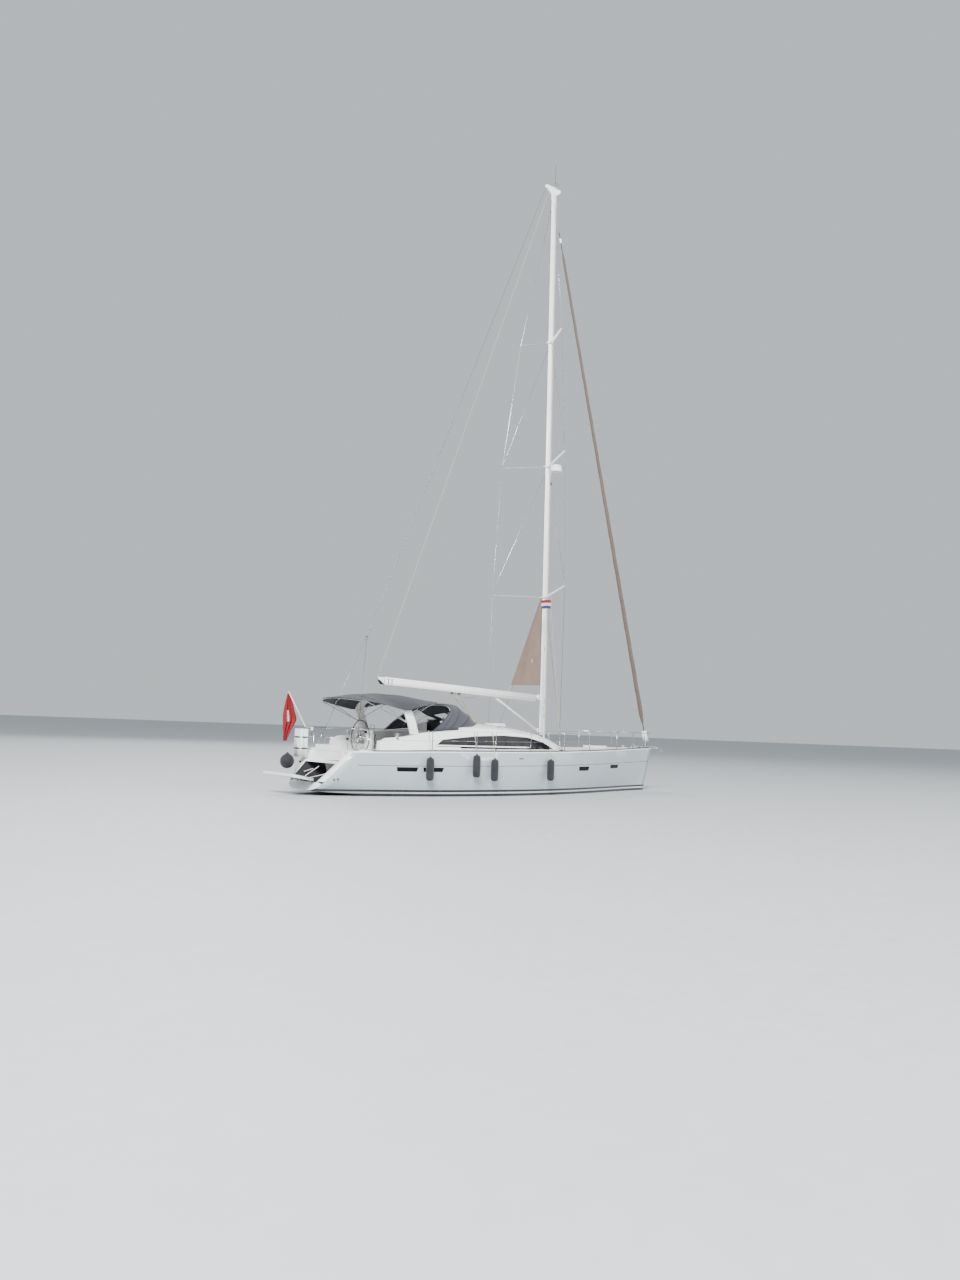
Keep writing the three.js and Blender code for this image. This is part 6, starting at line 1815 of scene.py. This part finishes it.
@dataclass(frozen=True)
class Canvas:
    """Bimini on its arch and hoops, and the sprayhood with its clear panels."""

    # Bows: centre X, edge X, centre Z, edge Z, half-breadth
    bimini: tuple[tuple[float, float, float, float, float], ...] = (
        (-8.55, -8.05, 2.88, 2.78, 1.37), (-7.85, -7.55, 3.00, 2.69, 1.50), (-7.05, -6.84, 3.07, 2.57, 1.53),
        (-6.25, -6.35, 3.055, 2.66, 1.50), (-4.82, -5.86, 2.90, 2.79, 1.33),
    )
    bimini_size: Pair = (3.5, 3.5)
    hood_area: float = 4.6
    # Each bow of the hood: X at the centre and at the edge, Z at the centre, half-breadth
    hood: tuple[tuple[float, float, float, float], ...] = (
        (-3.28, -4.15, 0.0, 1.29), (-3.98, -4.74, 2.61, 1.33), (-4.38, -5.08, 2.85, 1.35),
        (-4.64, -5.38, 2.86, 1.36), (-4.66, -5.74, 2.83, 1.36),
    )
    # Each clear panel of the hood from share to share across it and from fore to aft
    panels: tuple[tuple[float, float, float, float], ...] = (
        (0.03, 0.20, 0.14, 0.58), (0.26, 0.41, 0.07, 0.23), (0.43, 0.57, 0.07, 0.23),
        (0.59, 0.74, 0.07, 0.23),
    )
    cloth: float = 0.004
    hem: float = 0.04
    tape: float = 0.022
    patch_v: float = 0.235
    arch_pivot: Point = (-6.74, 1.37, 2.22)

    def bimini_point(self, u: float, v: float, lift: float = 0.0) -> Vector:
        """A point of the bimini: u from port, 0, to starboard, 1, and v from aft to fore.

        Args:
            u: Share across, from port.
            v: Share from aft to fore.
            lift: Distance above the cloth.

        Returns:
            The point.
        """
        centre_x, edge_x, centre_z, edge_z, half = smooth_row(self.bimini, v)
        across = 1 - 2 * u
        rise = 1 - across * across
        bows = len(self.bimini) - 1
        slack = -0.012 * math.sin(math.pi * v * bows) ** 2 * (1 - across**4)
        wrinkle = 0.004 * math.sin(23 * u + 6 * v) * math.sin(17 * v + 2 * u) * abs(across)
        pull = 0.025 * math.sin(math.pi * v * bows) ** 2 * abs(across) ** 6
        return Vector((
            edge_x + (centre_x - edge_x) * rise, across * (half - pull),
            edge_z + (centre_z - edge_z) * rise + slack + wrinkle + lift,
        ))

    def make_bimini(self) -> None:
        """The bimini's one sewn sheet, with taped seams, hem and the sleeves of its hoops."""
        form = Form("bimini_cloth")
        form.add(sheet(60, 80, self.bimini_point, self.bimini_size), CANVAS)
        cloth = form.done(replaces=("bimini_canopy",), slot="acrylic_canvas", crease=80)
        wall = cloth.modifiers.new("wall", "SOLIDIFY")
        wall.thickness = self.cloth
        wall.offset = -1.0
        tapes = Form("bimini_tapes")
        width, length = self.bimini_size
        strips: list[tuple[float, float, float, float]] = [
            (0.0, self.hem / width, 0.0, 1.0), (1 - self.hem / width, 1.0, 0.0, 1.0),
            (0.0, 1.0, 0.0, self.hem / length), (0.0, 1.0, 1 - self.hem / length, 1.0),
        ]
        half_tape = self.tape / 2
        for u in (0.335, 0.665):
            strips.append((u - half_tape / width, u + half_tape / width, 0.0, 1.0))
        for v in (0.25, 0.5, 0.75):
            strips.append((0.0, 1.0, v - half_tape / length, v + half_tape / length))
        for u0, u1, v0, v1 in strips:
            def lay(u: float, v: float, a: float = u0, b: float = u1, c: float = v0, d: float = v1) -> Vector:
                """A point of one tape."""
                return self.bimini_point(a + (b - a) * u, c + (d - c) * v, 0.0018)

            part = sheet(60 if u1 - u0 > 0.5 else 2, 80 if v1 - v0 > 0.5 else 2, lay,
                         ((u1 - u0) * width, (v1 - v0) * length))
            tapes.add(part, CANVAS_TAPE)
        for side in (-1, 1):
            middle = 0.5 - side * 0.225

            def patch(p: float, q: float, a: float = middle) -> Vector:
                """A point of a chafe patch over the arch."""
                return self.bimini_point(a + 0.035 * (p - 0.5), self.patch_v + 0.06 * (q - 0.5), 0.004)

            tapes.add(sheet(6, 6, patch, (0.12, 0.2)), CANVAS_TAPE)
        trim = tapes.done(slot="acrylic_canvas", crease=80)

    def make_hoops(self) -> None:
        """Steel hoops that spread the bimini from pivots on the arch, and its corner lashings."""
        form = Form("bimini_hoops")
        px, py, pz = self.arch_pivot
        for v in (0.012, 0.25, 0.75, 0.988):
            over = [self.bimini_point(0.02 + 0.96 * i / 24, v, -0.026) for i in range(25)]
            path = [Vector((px, py, pz)), *over, Vector((px, -py, pz))]
            form.add(rod(path, 0.0125, 10), STEEL)
        for _, side in SIDES:
            form.add(ball((px, side * py, pz), 0.03), STEEL)
        form.done(slot="stainless_steel")
        ties = Form("bimini_lashings")
        for v in (0.02, 0.1, 0.2):
            edge = self.bimini_point(0.012, v, -0.02)
            ties.add(rod([edge, edge + Vector((0.04, -0.01, -0.09)), edge + Vector((0.1, -0.02, -0.03)), edge
                          + Vector((0.16, -0.02, -0.035))], 0.005, 8), ROPE)
        ties.done(slot="acrylic_canvas")

    def hood_point(
        self, u: float, v: float, hems: Sequence[float], front: Callable[[float, float], float],
        lift: float = 0.0,
    ) -> Vector:
        """A point of the hood: u from port, 0, to starboard, 1, and v from fore to aft.

        Args:
            u: Share across, from port.
            v: Share from fore to aft.
            hems: Height of the hem at each bow.
            front: Height of the front edge at X and Y.
            lift: Distance outward from the cloth.

        Returns:
            The point.
        """
        rows = [(cx, ex, cz, hem, half) for (cx, ex, cz, half), hem in zip(self.hood, hems)]
        across = 1 - 2 * u
        angle = math.pi / 2 * across
        y_share = math.copysign(abs(math.sin(angle)) ** 0.8, across)
        rise = max(math.cos(angle), 0.0) ** 0.55
        deep = smooth_row(rows[1:], max(v * 4 - 1, 0) / 3)
        centre_x, edge_x, centre_z, edge_z, deep_half = deep
        deep_point = Vector((
            edge_x + (centre_x - edge_x) * rise, y_share * deep_half, edge_z + (centre_z - edge_z) * rise,
        ))
        if v * 4 >= 1:
            bow = deep_point
        else:
            cx, ex, _, _, half = rows[0]
            x, y = ex + (cx - ex) * (1 - across * across), across * half
            bow = Vector((x, y, front(x, y))).lerp(deep_point, v * 4)
        slack = -0.008 * math.sin(math.pi * 4 * v) ** 2 * rise
        wrinkle = 0.004 * math.sin(19 * u + 8 * v) * math.sin(21 * v)
        outward = Vector((0, math.copysign(1, across) * abs(across) ** 2, 1 - abs(across) ** 2)).normalized()
        return bow + outward * (slack + wrinkle + lift)

    def make_hood(self) -> None:
        """The sprayhood's sheet, its clear panels, zips, piping and hoops."""
        base = Surface("deckhouse", "cockpit")
        hems = [max(base.top(edge, half - inset) or 0.0 for inset in (0.0, 0.03)) + 0.012
                for _, edge, _, half in self.hood]

        def front(x: float, y: float) -> float:
            """Height of the hood's front edge over the roof."""
            found = base.top(x, y)
            return (found if found is not None else 2.1) + 0.02

        def lay(u: float, v: float, lift: float = 0.0) -> Vector:
            """A point of the hood, kept clear of the roof.

            Args:
                u: Share across, from port.
                v: Share from fore to aft.
                lift: Distance outward from the cloth.

            Returns:
                The point.
            """
            point = self.hood_point(u, v, hems, front, lift)
            below = base.top(point.x, point.y)
            if below is not None and below + 0.012 > point.z:
                point.z = below + 0.012
            return point

        form = Form("sprayhood_cloth")
        canvas = sheet(100, 64, lay, (4.2, 1.9))
        layer = canvas.loops.layers.uv.active
        holes = []
        for face in canvas.faces:
            corners = [loop[layer].uv for loop in face.loops]
            u = sum(c.x for c in corners) / len(corners) / 4.2
            v = sum(c.y for c in corners) / len(corners) / 1.9
            if any(u0 < u < u1 and v0 < v < v1 for u0, u1, v0, v1 in self.panels):
                holes.append(face)
        bmesh.ops.delete(canvas, geom=holes, context="FACES")
        form.add(canvas, HOOD_CANVAS)
        cloth = form.done(replaces=("sprayhood",), slot="acrylic_canvas", crease=80)
        wall = cloth.modifiers.new("wall", "SOLIDIFY")
        wall.thickness = self.cloth
        wall.offset = -1.0
        panels = Form("sprayhood_clear_panels")
        zips = Form("sprayhood_zips")
        for u0, u1, v0, v1 in self.panels:
            def pane(
                u: float, v: float, a: float = u0, b: float = u1, c: float = v0, d: float = v1
            ) -> Vector:
                """A point of one clear panel."""
                return lay(a + (b - a) * u, c + (d - c) * v, 0.003)

            panels.add(sheet(16, 16, pane, (0.5, 0.4)), VINYL)
            edge = [lay(u0 + (u1 - u0) * s, v0, 0.005) for s in (i / 12 for i in range(13))]
            edge += [lay(u1, v0 + (v1 - v0) * s, 0.005) for s in (i / 8 for i in range(1, 9))]
            edge += [lay(u1 + (u0 - u1) * s, v1, 0.005) for s in (i / 12 for i in range(1, 13))]
            edge += [lay(u0, v1 + (v0 - v1) * s, 0.005) for s in (i / 8 for i in range(1, 8))]
            zips.add(rod(edge, 0.009, 6, closed=True, flat=0.4), CANVAS_TAPE)
        for v in (0.25, 0.5, 0.75):
            zips.add(rod([lay(i / 60, v, 0.004) for i in range(61)], 0.008, 6, flat=0.5), CANVAS_TAPE)
        zips.add(rod([lay(i / 60, 0.997, 0.0) for i in range(61)], 0.012, 8), CANVAS_TAPE)
        zips.add(rod([lay(i / 60, 0.004, 0.0) for i in range(61)], 0.008, 8), CANVAS_TAPE)
        clear = panels.done(slot="acrylic_canvas", crease=80)
        trim = zips.done(slot="acrylic_canvas", crease=60)
        hoops = Form("sprayhood_hoops")
        for v in (0.5, 0.99):
            hoops.add(rod([lay(i / 48, v, -0.022) for i in range(49)], 0.0125, 10), STEEL)
        hoops.done(slot="stainless_steel")

    def build(self) -> None:
        """Builds and dresses the canvas."""
        carried("bimini_arch", "bimini_arch_tube", (GELCOAT,), 35)
        self.make_hoops()
        self.make_bimini()
        self.make_hood()


@dataclass(frozen=True)
class GuardRails:
    """Lifelines, pulpit, gates and the fenders that hang from the lifelines."""

    fenders: tuple[str, ...] = ("fender_1", "fender_2", "fender_3", "fender_4")
    # Half section of a long fender, its ends gathered: radius and height as shares of its box
    fender_profile: tuple[Pair, ...] = (
        (0.0, -0.335), (0.05, -0.338), (0.085, -0.325), (0.108, -0.295), (0.118, -0.25), (0.12, -0.2),
        (0.12, -0.1), (0.12, 0.1), (0.12, 0.22), (0.115, 0.28), (0.1, 0.315), (0.07, 0.337), (0.035, 0.348),
        (0.022, 0.362), (0.018, 0.378), (0.0, 0.382),
    )

    def make_fenders(self) -> None:
        """Inflated fenders in fleece covers, each on a rope hitched to the lifeline."""
        ropes = Form("fender_ropes")
        for name in self.fenders:
            low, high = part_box(name)
            middle = (low + high) / 2
            form = Form(f"{name}_cover")
            form.add(turned(self.fender_profile, 36), FLEECE, Matrix.Translation(middle))
            cover = form.done(replaces=(name,), slot="fender_cover", crease=80, smooth=1)
            x, y = middle.x, middle.y
            _, _, half = smooth_row(DECK_EDGE, share_at(x))
            rail_y = -(half - 0.07)
            rail_z = 1.985 if x > -2 else 1.96
            top = Vector((x, y, high.z - 0.01))
            hitch = Vector((x, rail_y, rail_z))
            ropes.add(rod([top, top.lerp(hitch, 0.5) + Vector((0, -0.01, 0)), hitch], 0.006, 8), ROPE)
            for k in range(3):
                turn = [hitch + Vector((0.014 * (k - 1), 0.011 * math.cos(a), 0.011 * math.sin(a)))
                        for a in (2 * math.pi * i / 10 for i in range(10))]
                ropes.add(rod(turn, 0.006, 6, closed=True), ROPE)
            tail = hitch + Vector((0.02, -0.012, 0))
            tail_points = [tail, tail + Vector((0.01, -0.01, -0.12)), tail + Vector((0.015, -0.012, -0.3))]
            ropes.add(rod(tail_points, 0.006, 8), ROPE)
            ropes.add(ball(tuple(top), 0.017), ROPE)
        ropes.done(slot="fender_cover")

    def build(self) -> None:
        """Builds and dresses the guard rails."""
        for name, _ in SIDES:
            carried(f"lifelines_{name}", f"lifeline_wires_{name}", (STEEL,), 40)
        carried("pulpit", "pulpit_tubes", (STEEL,), 40)
        self.make_fenders()
        lights = Form("bow_light")
        lights.add(box((5.44, -0.035, 2.06), (5.5, 0.035, 2.13), 0.014), RUBBER)
        lights.done(slot="painted_alloy")


@dataclass(frozen=True)
class Underwater:
    """Keel, rudder, saildrive, propeller and their anodes."""

    ring_x: float = -4.93
    ring_z: float = -0.93

    def build(self) -> None:
        """Builds and dresses what lies below the waterline."""
        carried("keel", "keel_and_bulb", (ANTIFOULING,), 35)
        carried("rudder", "rudder_blade", (ANTIFOULING,), 35)
        carried("saildrive", "saildrive_leg", (ANTIFOULING,), 35)
        carried("propeller", "propeller_blades", (BRONZE,), 35)
        anodes = Form("anodes")
        ring = [Vector((self.ring_x, 0.066 * math.cos(a), self.ring_z + 0.066 * math.sin(a)))
                for a in (2 * math.pi * i / 28 for i in range(28))]
        anodes.add(rod(ring, 0.013, 10, closed=True, flat=1.3), ZINC)
        anodes.done(slot="antifouling")


def share_at(x: float) -> float:
    """The share along the deck edge's table at which its X is reached.

    Args:
        x: The X to reach.

    Returns:
        The share, from 0 to 1.
    """
    low, high = 0.0, 1.0
    for _ in range(30):
        middle = (low + high) / 2
        if smooth_row(DECK_EDGE, middle)[0] < x:
            low = middle
        else:
            high = middle
    return (low + high) / 2


def main() -> None:
    """Builds every sub-assembly in order."""
    logging.basicConfig(level=logging.INFO, format="%(name)s %(message)s")
    Eye().build()
    Studio().build()
    assemblies = (
        Hull(), Deck(), Coachroof(), Cockpit(), Stern(), Rig(), Canvas(), GuardRails(), Underwater(),
    )
    for assembly in assemblies:
        LOG.info("building %s", type(assembly).__name__)
        assembly.build()


if __name__ == "__main__":
    main()
